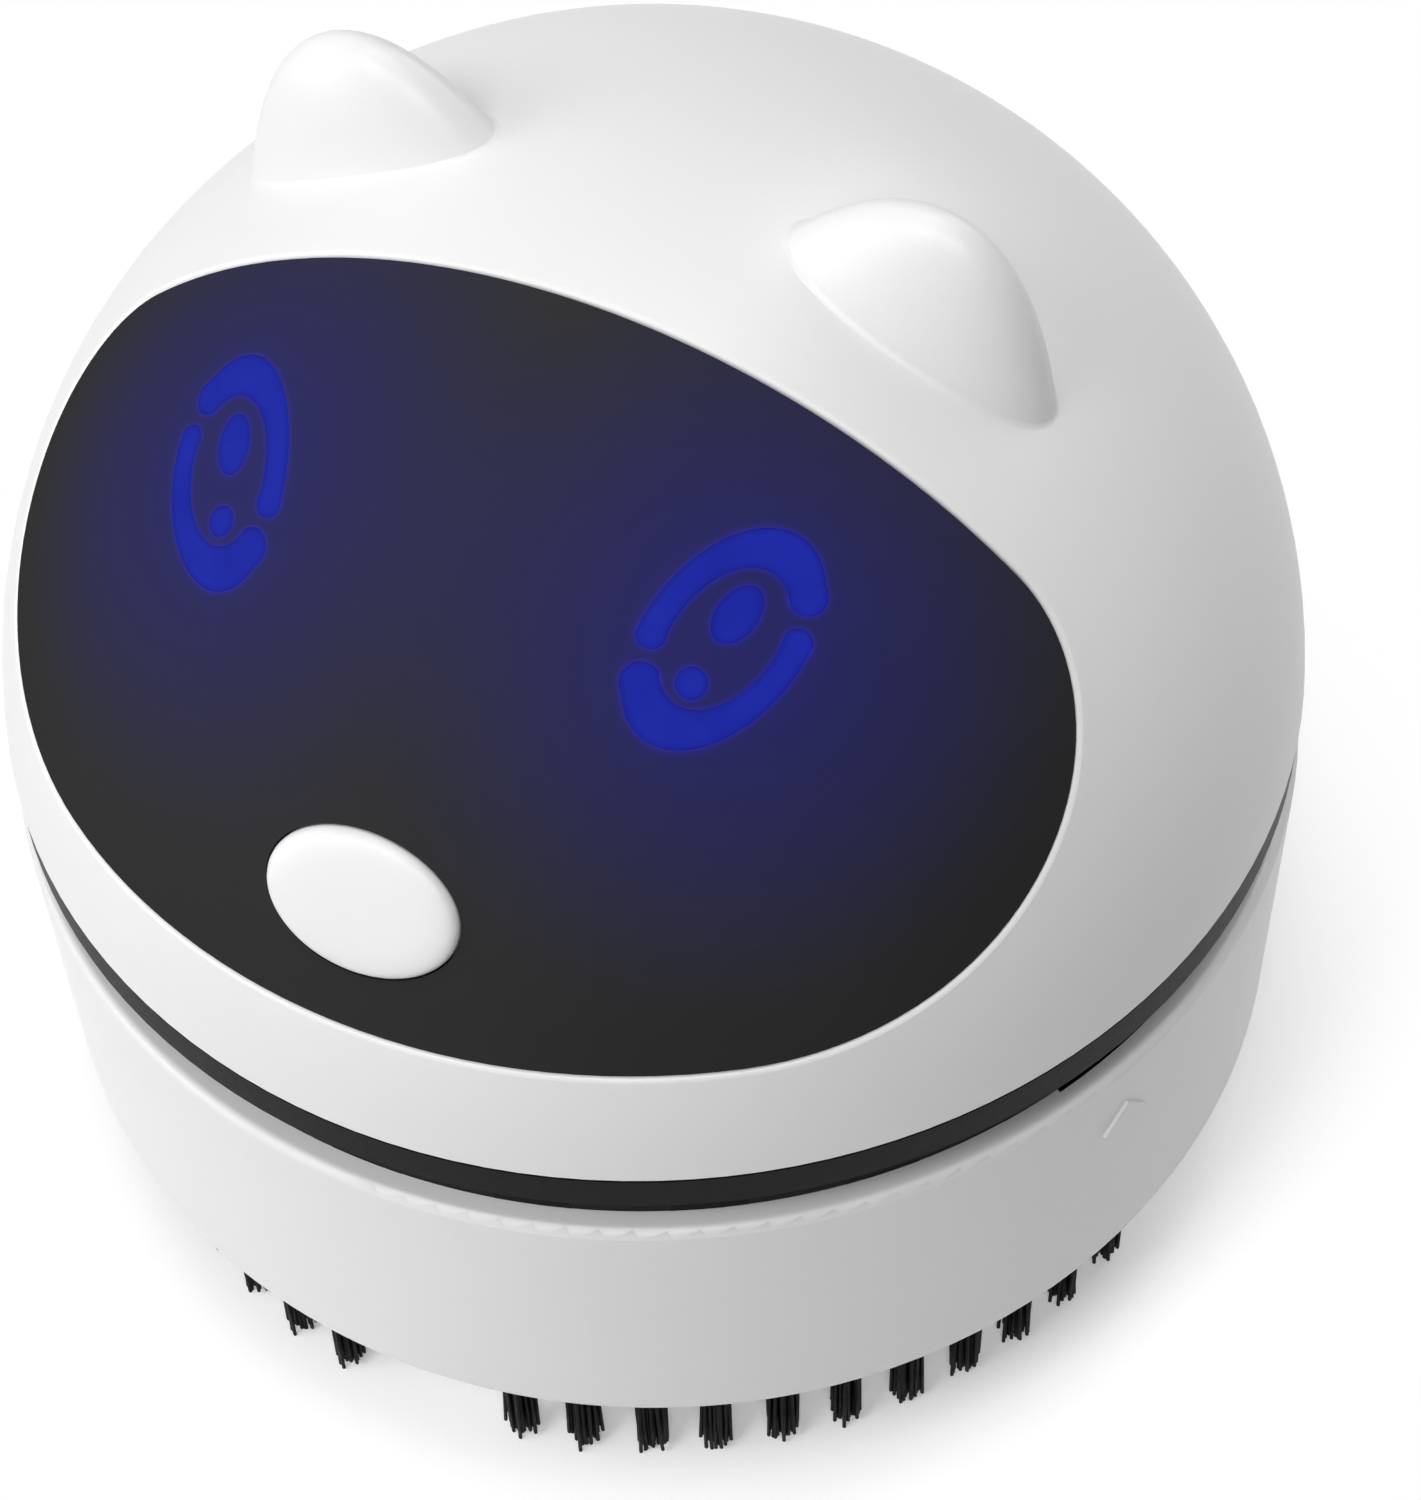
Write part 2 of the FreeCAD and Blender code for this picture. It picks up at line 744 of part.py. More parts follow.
def make_neck():
    """Flanged ring under the frame, with vents, lock lugs, a seal groove and an inner ledge."""
    neck = turned([
        (neck_inner_radius, neck_bottom_z),
        (neck_radius, neck_bottom_z),
        (neck_radius, cup_top_z + turn_gap),
        (recess_radius, cup_top_z + turn_gap),
        (recess_radius, neck_top_z),
        (neck_inner_radius, neck_top_z),
        (neck_inner_radius, cover_rim_z + neck_ledge_height),
        (neck_inner_radius - neck_ledge_reach, cover_rim_z + neck_ledge_height),
        (neck_inner_radius - neck_ledge_reach, cover_rim_z),
        (neck_inner_radius, cover_rim_z),
    ])
    lugs = []
    for number in range(lug_count):
        start = number * 360 / lug_count - lug_angle / 2
        lugs.append(ring_sector(neck_radius + lug_reach, neck_radius - neck_wall / 2,
                                lug_bottom_z, lug_top_z, start, lug_angle))
    vents = []
    vent_length = 2 * (recess_radius - neck_inner_radius)
    for number in range(vent_count):
        vent = block((recess_radius + neck_inner_radius) / 2, 0, neck_top_z - vent_height,
                     vent_length, vent_width, 2 * vent_height)
        vents.append(round_z(vent, (number + 1 / 2) * 360 / vent_count))
    seal_z = neck_bottom_z + seal_rise
    groove = tube(neck_radius + overrun, neck_radius - seal_depth, seal_z, seal_z + seal_height)
    return fused([neck] + lugs).cut(Part.Compound(vents)).cut(groove)


def make_chassis():
    """Deck and band ring in one moulding, with a motor collar, cell clips and posts."""
    frame = turned([
        (deck_bore_radius, deck_bottom_z),
        (neck_inner_radius, deck_bottom_z),
        (neck_inner_radius, neck_top_z),
        (recess_radius, neck_top_z),
        (recess_radius, band_bottom_z),
        (band_radius, band_bottom_z),
        (band_radius, band_top_z),
        (spigot_radius, band_top_z),
        (spigot_radius, band_top_z + spigot_height),
        (spigot_radius - spigot_wall, band_top_z + spigot_height),
        (spigot_radius - spigot_wall, deck_top_z),
        (deck_bore_radius, deck_top_z),
    ])
    additions = [tube(motor_radius + fit_gap + collar_wall, motor_radius + fit_gap,
                      deck_top_z, deck_top_z + collar_height)]
    for x in (-cell_clip_spread, cell_clip_spread):
        clip = block(x, cell_y, deck_top_z, cell_clip_thickness, 2 * cell_clip_half_width,
                     cell_rise + cell_clip_reach)
        additions.append(clip.cut(cell_along_x(cell_radius + fit_gap, cell_length + overrun)))
    for x, y in board_post_places():
        additions.append(cylinder(board_post_radius, deck_top_z, board_z, x, y))
    for angle in cover_post_angles:
        place = polar(cover_post_circle, angle)
        additions.append(cylinder(cover_post_radius, cover_rim_z, deck_bottom_z, place.x, place.y))
    frame = fused([frame] + additions)
    cuts = []
    hole = screw_radius + screw_hole_gap
    for angle in shell_boss_angles:
        place = polar(shell_boss_circle, angle)
        cuts.append(cylinder(hole, deck_bottom_z - overrun, deck_top_z + overrun, place.x, place.y))
    for side in (-1, 1):
        cuts.append(cylinder(hole, deck_bottom_z - overrun, deck_top_z + overrun,
                             side * motor_screw_circle, 0))
    for x, y in board_post_places():
        cuts.append(cylinder(screw_radius + shaft_gap, deck_bottom_z + fit_gap, board_z + overrun,
                             x, y))
    for angle in cover_post_angles:
        place = polar(cover_post_circle, angle)
        cuts.append(cylinder(screw_radius + shaft_gap, cover_rim_z - overrun,
                             cover_rim_z + cover_screw_length, place.x, place.y))
    return frame.cut(fused(cuts))


def board_post_places():
    """The board's two front fixing points and its two rear ones."""
    x = board_length / 2 - board_post_inset
    return [(-x, board_front_y + board_post_inset), (x, board_front_y + board_post_inset),
            (-x, board_rear_y - board_post_inset), (x, board_rear_y - board_post_inset)]


def make_main_board():
    width = board_rear_y - board_front_y
    board = block(0, board_front_y + width / 2, board_z, board_length, width, board_thickness)
    for x, y in board_post_places():
        board = board.cut(cylinder(screw_radius + screw_hole_gap, board_z - overrun,
                                   board_z + overrun, x, y))
    return board


def make_board_screws():
    """Screws at the board's rear corners, where the cell leaves room for their heads."""
    screws = []
    for x, y in board_post_places()[2:]:
        one = screw(small_screw_length - fit_gap, down=False)
        one.translate(Vector(x, y, board_z + board_thickness))
        screws.append(one)
    return Part.Compound(screws)


def make_board_chips():
    """Three chips in a row behind the cell."""
    chips = []
    for x in (-chip_x, 0, chip_x):
        chips.append(block(x, chip_y, port_z, chip_side, chip_side, chip_height))
    return Part.Compound(chips)


def port_front_y():
    """Where the port's mouth lies, a little behind the shell's surface."""
    level = port_z + port_height / 2 - shell_centre_z
    return math.sqrt(shell_radius ** 2 - level ** 2) - port_front_inset


def slot_prism(width, height, depth, front_y, bottom):
    """A prism along Y with half-round sides, as a charging port has."""
    middle = block(0, front_y - depth / 2, bottom, width - height, depth, height)
    radius = height / 2
    sides = []
    for side in (-1, 1):
        start = Vector(side * (width / 2 - radius), front_y - depth, bottom + radius)
        sides.append(Part.makeCylinder(radius, depth, start, Vector(0, 1, 0)))
    return fused([middle] + sides)


def make_charging_port():
    """Metal port shell with the tongue inside it."""
    front = port_front_y()
    bottom = port_z
    body = slot_prism(port_width, port_height, port_length, front, bottom)
    room = slot_prism(port_width - 2 * port_wall, port_height - 2 * port_wall,
                      port_length - port_wall, front, bottom + port_wall)
    tongue_length = port_length * port_tongue_share
    tongue = block(0, front - port_length + port_wall + tongue_length / 2 - port_wall,
                   bottom + port_height / 2 - port_tongue_thickness / 2,
                   port_tongue_width, tongue_length, port_tongue_thickness)
    return body.cut(room).fuse(tongue)


def make_battery_cell():
    can = cell_along_x(cell_radius, cell_length)
    edges = [edge for edge in can.Edges if isinstance(edge.Curve, Part.Circle)]
    can = can.makeChamfer(cell_cap_height / 2, edges)
    cap = Part.makeCylinder(cell_cap_radius, cell_cap_height,
                            Vector(cell_length / 2, cell_y, cell_z), Vector(1, 0, 0))
    return can.fuse(cap)


def make_battery_tabs():
    """A nickel strip on each end of the cell, bent down to the deck."""
    strips = []
    for side, end in ((-1, cell_length / 2), (1, cell_length / 2 + cell_cap_height)):
        x = side * (end + tab_thickness / 2)
        strips.append(block(x, cell_y, cell_z - tab_drop, tab_thickness, tab_width,
                            tab_drop + cell_cap_radius))
    return Part.Compound(strips)


def make_motor_can():
    """Drawn steel can, open at the top, with a bush seat and two screw holes below."""
    top = motor_top_z - motor_cap_height
    can = cylinder(motor_radius, deck_top_z, top)
    can = can.makeChamfer(motor_wall / 2, circles_at(can, motor_radius, deck_top_z))
    can = can.cut(cylinder(motor_radius - motor_wall, deck_top_z + motor_wall, top + overrun))
    can = can.cut(cylinder(motor_bush_radius + fit_gap / 2, deck_top_z - overrun, top))
    for side in (-1, 1):
        can = can.cut(cylinder(screw_radius + shaft_gap, deck_top_z - overrun, top,
                               side * motor_screw_circle, 0))
    return can


def make_motor_end_cap():
    """Plastic end cap, let into the can, with a bush seat and slots for the terminals."""
    low = motor_top_z - motor_cap_height
    rim = cylinder(motor_radius, low, motor_top_z - motor_wall)
    crown = cylinder(motor_bush_radius + motor_wall, low, motor_top_z)
    cap = rim.fuse(crown)
    room = cylinder(motor_radius - 2 * motor_wall, low - overrun, low + motor_cap_height / 2)
    cap = cap.cut(room)
    cap = cap.cut(cylinder(motor_bush_radius + fit_gap / 2, low - overrun, motor_top_z + overrun))
    for side in (-1, 1):
        slot = block(side * terminal_spread, 0, low, terminal_thickness + fit_gap,
                     terminal_width + fit_gap, motor_cap_height + overrun)
        cap = cap.cut(slot)
    return cap


def make_motor_terminals():
    blades = []
    low = motor_top_z - motor_cap_height / 2
    for side in (-1, 1):
        blades.append(block(side * terminal_spread, 0, low, terminal_thickness, terminal_width,
                            terminal_height + motor_cap_height / 2))
    return Part.Compound(blades)


def make_motor_bushes():
    """A sintered bush in each end of the motor."""
    lower = tube(motor_bush_radius, motor_shaft_radius + shaft_gap,
                 deck_top_z, deck_top_z + motor_bush_height)
    upper = tube(motor_bush_radius, motor_shaft_radius + shaft_gap,
                 motor_top_z - motor_bush_height, motor_top_z)
    return Part.Compound([lower, upper])


def motor_middle_z():
    inside_low = deck_top_z + motor_wall + motor_bush_height
    inside_high = motor_top_z - motor_cap_height
    return (inside_low + inside_high) / 2


def make_motor_magnets():
    """Two curved magnets that line the can."""
    outer = motor_radius - motor_wall - fit_gap / 2
    inner = outer - magnet_thickness
    low = motor_middle_z() - magnet_height / 2
    sectors = []
    for middle in (90, 270):
        sectors.append(ring_sector(outer, inner, low, low + magnet_height,
                                   middle - magnet_angle / 2, magnet_angle))
    return Part.Compound(sectors)


def make_motor_armature():
    """Three-pole armature, pressed on the shaft."""
    radius = motor_radius - motor_wall - magnet_thickness - armature_gap
    low = motor_middle_z() - magnet_height / 2
    core = cylinder(radius, low, low + magnet_height)
    groove = tube(radius - armature_pole_rim, armature_core_radius, low - overrun,
                  low + magnet_height + overrun)
    arms = []
    for number in range(3):
        arm = block(radius / 2, 0, low, radius, 2 * armature_slot_width, magnet_height)
        arms.append(round_z(arm.common(core), number * 120))
    core = core.cut(groove).fuse(fused(arms))
    slots = []
    for number in range(3):
        slot = block(radius, 0, low - overrun / 2, 4 * armature_pole_rim, armature_slot_width,
                     magnet_height + overrun)
        slots.append(round_z(slot, 60 + number * 120))
    core = core.cut(fused(slots))
    return core.cut(cylinder(motor_shaft_radius, low - overrun, low + magnet_height + overrun))


def make_motor_shaft():
    low = impeller_top_z - impeller_hub_height
    return cylinder(motor_shaft_radius, low, motor_top_z + motor_shaft_tail)


def make_motor_screws():
    screws = []
    for side in (-1, 1):
        one = screw(deck_thickness + motor_wall / 2)
        one.translate(Vector(side * motor_screw_circle, 0, deck_bottom_z))
        screws.append(one)
    return Part.Compound(screws)


def blade_outline():
    """A blade seen from above: a strip of even thickness swept back as it goes out."""
    def corner(radius, side):
        way_share = (radius - blade_inner_radius) / (impeller_radius - blade_inner_radius)
        angle = -blade_sweep * way_share + math.degrees(side * blade_thickness / 2 / radius)
        return polar(radius, angle)

    middle = (blade_inner_radius + impeller_radius) / 2
    front = [corner(radius, 1) for radius in (blade_inner_radius, middle, impeller_radius)]
    back = [corner(radius, -1) for radius in (impeller_radius, middle, blade_inner_radius)]
    edges = [
        Part.Arc(front[0], front[1], front[2]).toShape(),
        line(front[2], back[0]),
        Part.Arc(back[0], back[1], back[2]).toShape(),
        line(back[2], front[0]),
    ]
    return Part.Face(Part.Wire(edges))


def make_impeller():
    """Centrifugal impeller: plate, hub, and swept blades that get lower outwards."""
    plate = cylinder(impeller_radius, blade_top_z, impeller_top_z)
    hub = turned([
        (0, impeller_top_z - impeller_hub_height),
        (impeller_hub_radius - blade_thickness, impeller_top_z - impeller_hub_height),
        (impeller_hub_radius, blade_top_z),
        (2 * impeller_hub_radius, impeller_top_z - impeller_plate_thickness / 2),
        (0, impeller_top_z),
    ])
    outline = blade_outline()
    outline.translate(Vector(0, 0, blade_top_z - blade_inner_height))
    blade = outline.extrude(Vector(0, 0, blade_inner_height + impeller_plate_thickness / 2))
    slope = turned([
        (0, blade_top_z - blade_inner_height),
        (blade_inner_radius, blade_top_z - blade_inner_height),
        (impeller_radius + fan_tip_gap, blade_top_z - blade_outer_height),
        (impeller_radius + fan_tip_gap, blade_top_z - blade_inner_height - overrun),
        (0, blade_top_z - blade_inner_height - overrun),
    ])
    blade = blade.cut(slope)
    blades = [round_z(blade, number * 360 / blade_count) for number in range(blade_count)]
    wheel = fused([plate, hub] + blades)
    low = impeller_top_z - impeller_hub_height
    return wheel.cut(cylinder(motor_shaft_radius, low - overrun, impeller_top_z + overrun))


def make_fan_cover():
    """Dished cover with a lipped eye, screwed to the posts under the deck."""
    rim = neck_inner_radius - fit_gap
    cover = turned([
        (fan_eye_radius, cover_eye_z),
        (impeller_radius + fan_tip_gap, cover_rim_z),
        (rim, cover_rim_z),
        (rim, cover_rim_z - fan_cover_thickness),
        (impeller_radius + fan_tip_gap, cover_rim_z - fan_cover_thickness),
        (fan_eye_radius + fan_cover_thickness, cover_eye_z - fan_cover_thickness),
        (fan_eye_radius + fan_cover_thickness, cover_eye_z - fan_cover_thickness - fan_eye_lip),
        (fan_eye_radius, cover_eye_z - fan_cover_thickness - fan_eye_lip),
    ])
    for angle in cover_post_angles:
        place = polar(cover_post_circle, angle)
        cover = cover.cut(cylinder(screw_radius + screw_hole_gap, cover_rim_z - overrun,
                                   cover_rim_z + overrun, place.x, place.y))
    return cover


def ring_of_screws(length, circle, angles, seat_z):
    screws = []
    for angle in angles:
        one = screw(length)
        one.translate(polar(circle, angle, seat_z))
        screws.append(one)
    return Part.Compound(screws)


def make_filter_frame():
    """Open frame that plugs into the neck, with spokes, and a flange under the neck's end."""
    rim = neck_inner_radius - fit_gap
    flange_top = neck_bottom_z - fit_gap
    flange_low = flange_top - filter_flange_height
    high = flange_top + filter_frame_height
    frame = tube(rim, rim - filter_rim_wall, flange_low, high)
    frame = frame.fuse(tube(neck_radius, rim - filter_rim_wall, flange_low, flange_top))
    frame = frame.fuse(tube(filter_hub_radius, filter_hub_radius / 2, flange_low, flange_top))
    spokes = []
    span = rim - filter_rim_wall - filter_hub_radius
    for number in range(filter_spoke_count):
        overlap = filter_rim_wall / 2
        spoke = block(filter_hub_radius + span / 2, 0, flange_low, span + overlap,
                      filter_spoke_width, filter_flange_height)
        spokes.append(round_z(spoke, number * 360 / filter_spoke_count))
    return fused([frame] + spokes)


def make_filter_mesh():
    """Mesh disc that lies on the frame's spokes."""
    radius = neck_inner_radius - fit_gap - filter_rim_wall - fit_gap
    low = neck_bottom_z
    return cylinder(radius, low, low + filter_mesh_thickness)


def make_cup_seal():
    """Rubber ring in the neck's groove."""
    low = neck_bottom_z + seal_rise + fit_gap / 2
    return tube(neck_radius, neck_radius - seal_depth + fit_gap / 2, low,
                low + seal_height - fit_gap)


def tuft_angles():
    """Angles from +X of the tufts, with bare places at the front, the back and the sides."""
    step = 360 / tuft_places
    angles = []
    for number in range(tuft_places):
        angle = (number + 1 / 2) * step - 90
        from_side = abs((angle + 90) % 180 - 90)
        from_front = 90 - from_side
        bare_side = from_side < side_places_left_out / 2 * step
        bare_front = from_front < front_places_left_out / 2 * step
        if not bare_side and not bare_front:
            angles.append(angle)
    return angles


def make_dust_cup():
    """Turned wall with a ledge for the floor, screw bosses, lock grooves and alignment mark."""
    cup = turned([
        (floor_pocket_radius, cup_bottom_z),
        (cup_bottom_radius, cup_bottom_z),
        (cup_top_radius, cup_top_z),
        (cup_inner_radius, cup_top_z),
        (cup_inner_radius, cup_floor_z),
        (floor_pocket_radius, cup_floor_z),
    ])
    cup = cup.makeFillet(cup_top_round, circles_at(cup, cup_top_radius, cup_top_z))
    cup = cup.makeChamfer(cup_mouth_bevel, circles_at(cup, cup_inner_radius, cup_top_z))
    cup = cup.makeFillet(cup_bottom_round, circles_at(cup, cup_bottom_radius, cup_bottom_z))
    grooves = []
    groove_radius = neck_radius + lug_reach + groove_gap
    slack = math.degrees(groove_gap / cup_inner_radius)
    for number in range(lug_count):
        start = number * 360 / lug_count - lug_angle / 2 - slack
        length = lug_angle + twist_angle + 2 * slack
        run = ring_sector(groove_radius, cup_inner_radius - cup_wall, lug_bottom_z - groove_gap,
                          lug_top_z + groove_gap, start - twist_angle, length)
        entry = ring_sector(groove_radius, cup_inner_radius - cup_wall, lug_bottom_z,
                            cup_top_z + overrun, start - twist_angle, lug_angle + 2 * slack)
        grooves += [run, entry]
    cup = cup.cut(fused(grooves))
    bosses = []
    pilots = []
    for angle in brush_screw_angles:
        place = polar(tuft_ring_radius, angle)
        top = cup_floor_z + brush_screw_boss_height
        column = cylinder(screw_head_radius, cup_floor_z, top, place.x, place.y)
        web_length = cup_top_radius - cup_wall / 2 - tuft_ring_radius
        web = block(tuft_ring_radius + web_length / 2, 0, cup_floor_z, web_length,
                    2 * screw_head_radius, brush_screw_boss_height)
        bosses += [column, round_z(web, angle)]
        pilots.append(cylinder(screw_radius + shaft_gap, cup_floor_z - overrun,
                               cup_bottom_z + screw_head_height + brush_screw_length,
                               place.x, place.y))
    return fused([cup] + bosses + [alignment_mark()]).cut(fused(pilots))


def make_cup_floor():
    """Flat plate with a step for the brush ring and a counterbored hole for the inlet tube."""
    step_z = cup_bottom_z + brush_ring_thickness + fit_gap
    step_radius = brush_inner_radius - fit_gap
    plate = turned([
        (inlet_outer_radius + inlet_flange_reach + fit_gap, cup_bottom_z),
        (step_radius, cup_bottom_z),
        (step_radius, step_z),
        (floor_radius, step_z),
        (floor_radius, cup_floor_z),
        (inlet_outer_radius + fit_gap, cup_floor_z),
        (inlet_outer_radius + fit_gap, inlet_flange_top_z),
        (inlet_outer_radius + inlet_flange_reach + fit_gap, inlet_flange_top_z),
    ])
    holes = []
    for angle in brush_screw_angles:
        place = polar(tuft_ring_radius, angle)
        holes.append(cylinder(screw_radius + screw_hole_gap, cup_bottom_z, cup_top_z,
                              place.x, place.y))
    return plate.cut(Part.Compound(holes))


def make_inlet_tube():
    """Tube that stands up in the cup, with a flange let into the floor's underside."""
    return turned([
        (inlet_radius, cup_bottom_z),
        (inlet_outer_radius + inlet_flange_reach, cup_bottom_z),
        (inlet_outer_radius + inlet_flange_reach, inlet_flange_top_z),
        (inlet_outer_radius, inlet_flange_top_z),
        (inlet_outer_radius, cup_floor_z + inlet_height),
        (inlet_radius, cup_floor_z + inlet_height),
    ])


def alignment_mark():
    """Small raised triangle on the wall, its tip upwards."""
    tip_z = cup_top_z - mark_drop
    draft = (cup_top_radius - cup_bottom_radius) / cup_height
    face_radius = cup_top_radius - draft * (mark_drop + mark_height / 2)
    inside = face_radius - cup_wall / 2
    corners = [Vector(inside, 0, tip_z),
               Vector(inside, mark_width / 2, tip_z - mark_height),
               Vector(inside, -mark_width / 2, tip_z - mark_height)]
    face = Part.Face(Part.makePolygon(corners + corners[:1]))
    prism = face.extrude(Vector(cup_wall, 0, 0))
    skin = cylinder(face_radius + mark_proud, tip_z - 2 * mark_height, tip_z + mark_height)
    return round_z(prism.common(skin), mark_azimuth - 90)


def tuft_column(low_radius, high_radius, low, high):
    """A many-sided column at the +X side of the tufts' circle, with a radius at each end."""
    def ring(radius, height):
        turn = 360 / tuft_sides
        points = [polar(radius, number * turn, height) for number in range(tuft_sides + 1)]
        return [point + Vector(tuft_ring_radius, 0, 0) for point in points]

    foot = ring(low_radius, low)
    head = ring(high_radius, high)
    outlines = [foot, head]
    for number in range(tuft_sides):
        outlines.append([foot[number], foot[number + 1], head[number + 1], head[number],
                         foot[number]])
    faces = [Part.Face(Part.makePolygon(outline)) for outline in outlines]
    return Part.Solid(Part.makeShell(faces))


def make_brush_ring():
    """Flat ring in the cup's underside, drilled for the tufts and the screws."""
    low = cup_bottom_z
    high = cup_bottom_z + brush_ring_thickness
    ring = tube(floor_radius, brush_inner_radius, low, high)
    holes = []
    hole_radius = tuft_root_radius + fit_gap
    hole = tuft_column(hole_radius, hole_radius, low - overrun, low + tuft_root_depth)
    for angle in tuft_angles():
        holes.append(round_z(hole, angle))
    for angle in brush_screw_angles:
        place = polar(tuft_ring_radius, angle)
        holes.append(cylinder(screw_radius + screw_hole_gap, low - overrun, high + overrun,
                              place.x, place.y))
        holes.append(cylinder(screw_head_radius - brush_ring_thickness / 8, low - overrun,
                              low + screw_head_height, place.x, place.y))
    return ring.cut(Part.Compound(holes))


def make_brush_screws():
    """Flat head screws, sunk flush in the brush ring."""
    screws = []
    for angle in brush_screw_angles:
        place = polar(tuft_ring_radius, angle)
        head_radius = screw_head_radius - brush_ring_thickness / 8 - fit_gap
        seat = cup_bottom_z + screw_head_height
        head = cylinder(head_radius, cup_bottom_z, seat, place.x, place.y)
        shank = cylinder(screw_radius, seat, seat + brush_screw_length - fit_gap, place.x, place.y)
        screws.append(head.fuse(shank))
    return Part.Compound(screws)


def make_tuft():
    """One tuft at the +X side of its circle, spreading from its hole to the floor."""
    root_z = cup_bottom_z + tuft_root_depth
    return tuft_column(tuft_tip_radius, tuft_root_radius, 0, root_z)


def make_tufts(quarter):
    """The tufts of one quarter, counted from +X round to the left."""
    tuft = make_tuft()
    copies = []
    for angle in tuft_angles():
        if int(angle % 360 // 90) == quarter:
            copies.append(round_z(tuft, angle))
    return Part.Compound(copies)


save(make_top_shell(), "top_shell")
save(make_face_panel(), "face_panel")
save(make_eye_light(), "eye_light_right")
save(mirrored(make_eye_light()), "eye_light_left")
save(make_lamp_hood(), "lamp_hood_right")
save(mirrored(make_lamp_hood()), "lamp_hood_left")
save(make_lamp_board(), "lamp_board_right")
save(mirrored(make_lamp_board()), "lamp_board_left")
save(make_lamps(), "eye_lamps")
save(make_nose_button(), "nose_button")
save(make_switch_plunger(), "switch_plunger")
save(make_switch_body(), "switch_body")
save(make_switch_board(), "switch_board")
save(make_switch_screws(), "switch_screws")
save(make_chassis(), "chassis")
save(make_neck(), "neck")
save(make_main_board(), "main_board")
save(make_board_screws(), "board_screws")
save(make_board_chips(), "board_chips")
save(make_charging_port(), "charging_port")
save(make_battery_cell(), "battery_cell")
save(make_battery_tabs(), "battery_tabs")
save(make_motor_can(), "motor_can")
save(make_motor_end_cap(), "motor_end_cap")
save(make_motor_terminals(), "motor_terminals")
save(make_motor_bushes(), "motor_bushes")
save(make_motor_magnets(), "motor_magnets")
save(make_motor_armature(), "motor_armature")
save(make_motor_shaft(), "motor_shaft")
save(make_motor_screws(), "motor_screws")
save(make_impeller(), "impeller")
save(make_fan_cover(), "fan_cover")
save(ring_of_screws(cover_screw_length, cover_post_circle, cover_post_angles,
                    cover_rim_z - fan_cover_thickness), "cover_screws")
save(ring_of_screws(shell_screw_length, shell_boss_circle, shell_boss_angles, deck_bottom_z),
     "shell_screws")
save(make_filter_frame(), "filter_frame")
save(make_filter_mesh(), "filter_mesh")
save(make_cup_seal(), "cup_seal")
save(make_dust_cup(), "dust_cup")
save(make_cup_floor(), "cup_floor")
save(make_inlet_tube(), "inlet_tube")
save(make_brush_ring(), "brush_ring")
save(make_brush_screws(), "brush_screws")
save(make_tufts(0), "tufts_rear_right")
save(make_tufts(1), "tufts_rear_left")
save(make_tufts(2), "tufts_front_left")
save(make_tufts(3), "tufts_front_right")
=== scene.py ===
import bpy
import json
import math
import random
from mathutils import Matrix, Vector


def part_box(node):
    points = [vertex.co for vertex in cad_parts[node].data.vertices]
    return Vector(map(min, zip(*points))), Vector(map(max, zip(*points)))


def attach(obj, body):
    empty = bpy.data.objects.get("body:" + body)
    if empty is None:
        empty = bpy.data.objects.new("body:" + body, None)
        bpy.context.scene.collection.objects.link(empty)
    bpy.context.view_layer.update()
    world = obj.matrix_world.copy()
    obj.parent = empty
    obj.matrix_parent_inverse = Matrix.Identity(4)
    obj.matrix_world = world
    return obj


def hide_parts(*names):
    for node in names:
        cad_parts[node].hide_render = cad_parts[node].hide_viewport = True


# Looks of the desktop mini vacuum cleaner, in metres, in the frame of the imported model

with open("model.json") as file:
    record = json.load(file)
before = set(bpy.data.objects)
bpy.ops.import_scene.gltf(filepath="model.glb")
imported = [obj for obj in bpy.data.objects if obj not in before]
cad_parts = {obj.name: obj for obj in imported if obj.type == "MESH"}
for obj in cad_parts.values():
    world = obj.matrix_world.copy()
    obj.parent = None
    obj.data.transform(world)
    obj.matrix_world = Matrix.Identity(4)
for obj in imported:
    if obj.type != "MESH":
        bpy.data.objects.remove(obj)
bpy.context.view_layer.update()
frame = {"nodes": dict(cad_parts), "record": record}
MM = 0.001

# Camera: where the photograph was taken from, in the frame of the model
PHOTO_LONG_SIDE = 1500
FOCAL_PIXELS = 4028.85
SENSOR_MM = 36.0
CAMERA_DISTANCE = 160.344 * MM      # level, from the body's axis
CAMERA_HEIGHT = 225.222 * MM        # above the floor
CAMERA_AZIMUTH = 27.9               # degrees round the body, from its face
CAMERA_YAW = 0.020                  # radians, to the right of the axis
CAMERA_PITCH = 0.896                # radians, below the horizon
CAMERA_ROLL = 0.039                 # radians
CAMERA_NEAR = 0.01                  # metres, where the camera starts to see
CAMERA_FAR = 10.0

# Lamps, in metres, and surroundings
LAMP_DISTANCE = 0.85                # from the middle of the floor
LAMP_SIZE = 0.5
KEY_SIZE = 0.28                     # of the lamps that draw the highlights
WORLD_LEVEL = 0.05                  # of the surroundings as a light

# Floor
FLOOR_HALF = 1.5                    # metres
FLOOR_SHADE = 0.6                   # of the floor where it throws light back at the object
FLOOR_LIFT = 0.22                   # added where the camera or a reflection sees the floor
SHADOW_REACH = (38 * MM, 60 * MM)   # from the axis: all of the shadow shows, and none of it

# Places on the shell
SHELL_RADIUS = 39.8 * MM
SHELL_CENTRE = Vector((0, 0, 34.2 * MM))
EYE_X = 14.9 * MM
EYE_Y = -20.25 * MM
EYE_TILT = -20.0                    # degrees

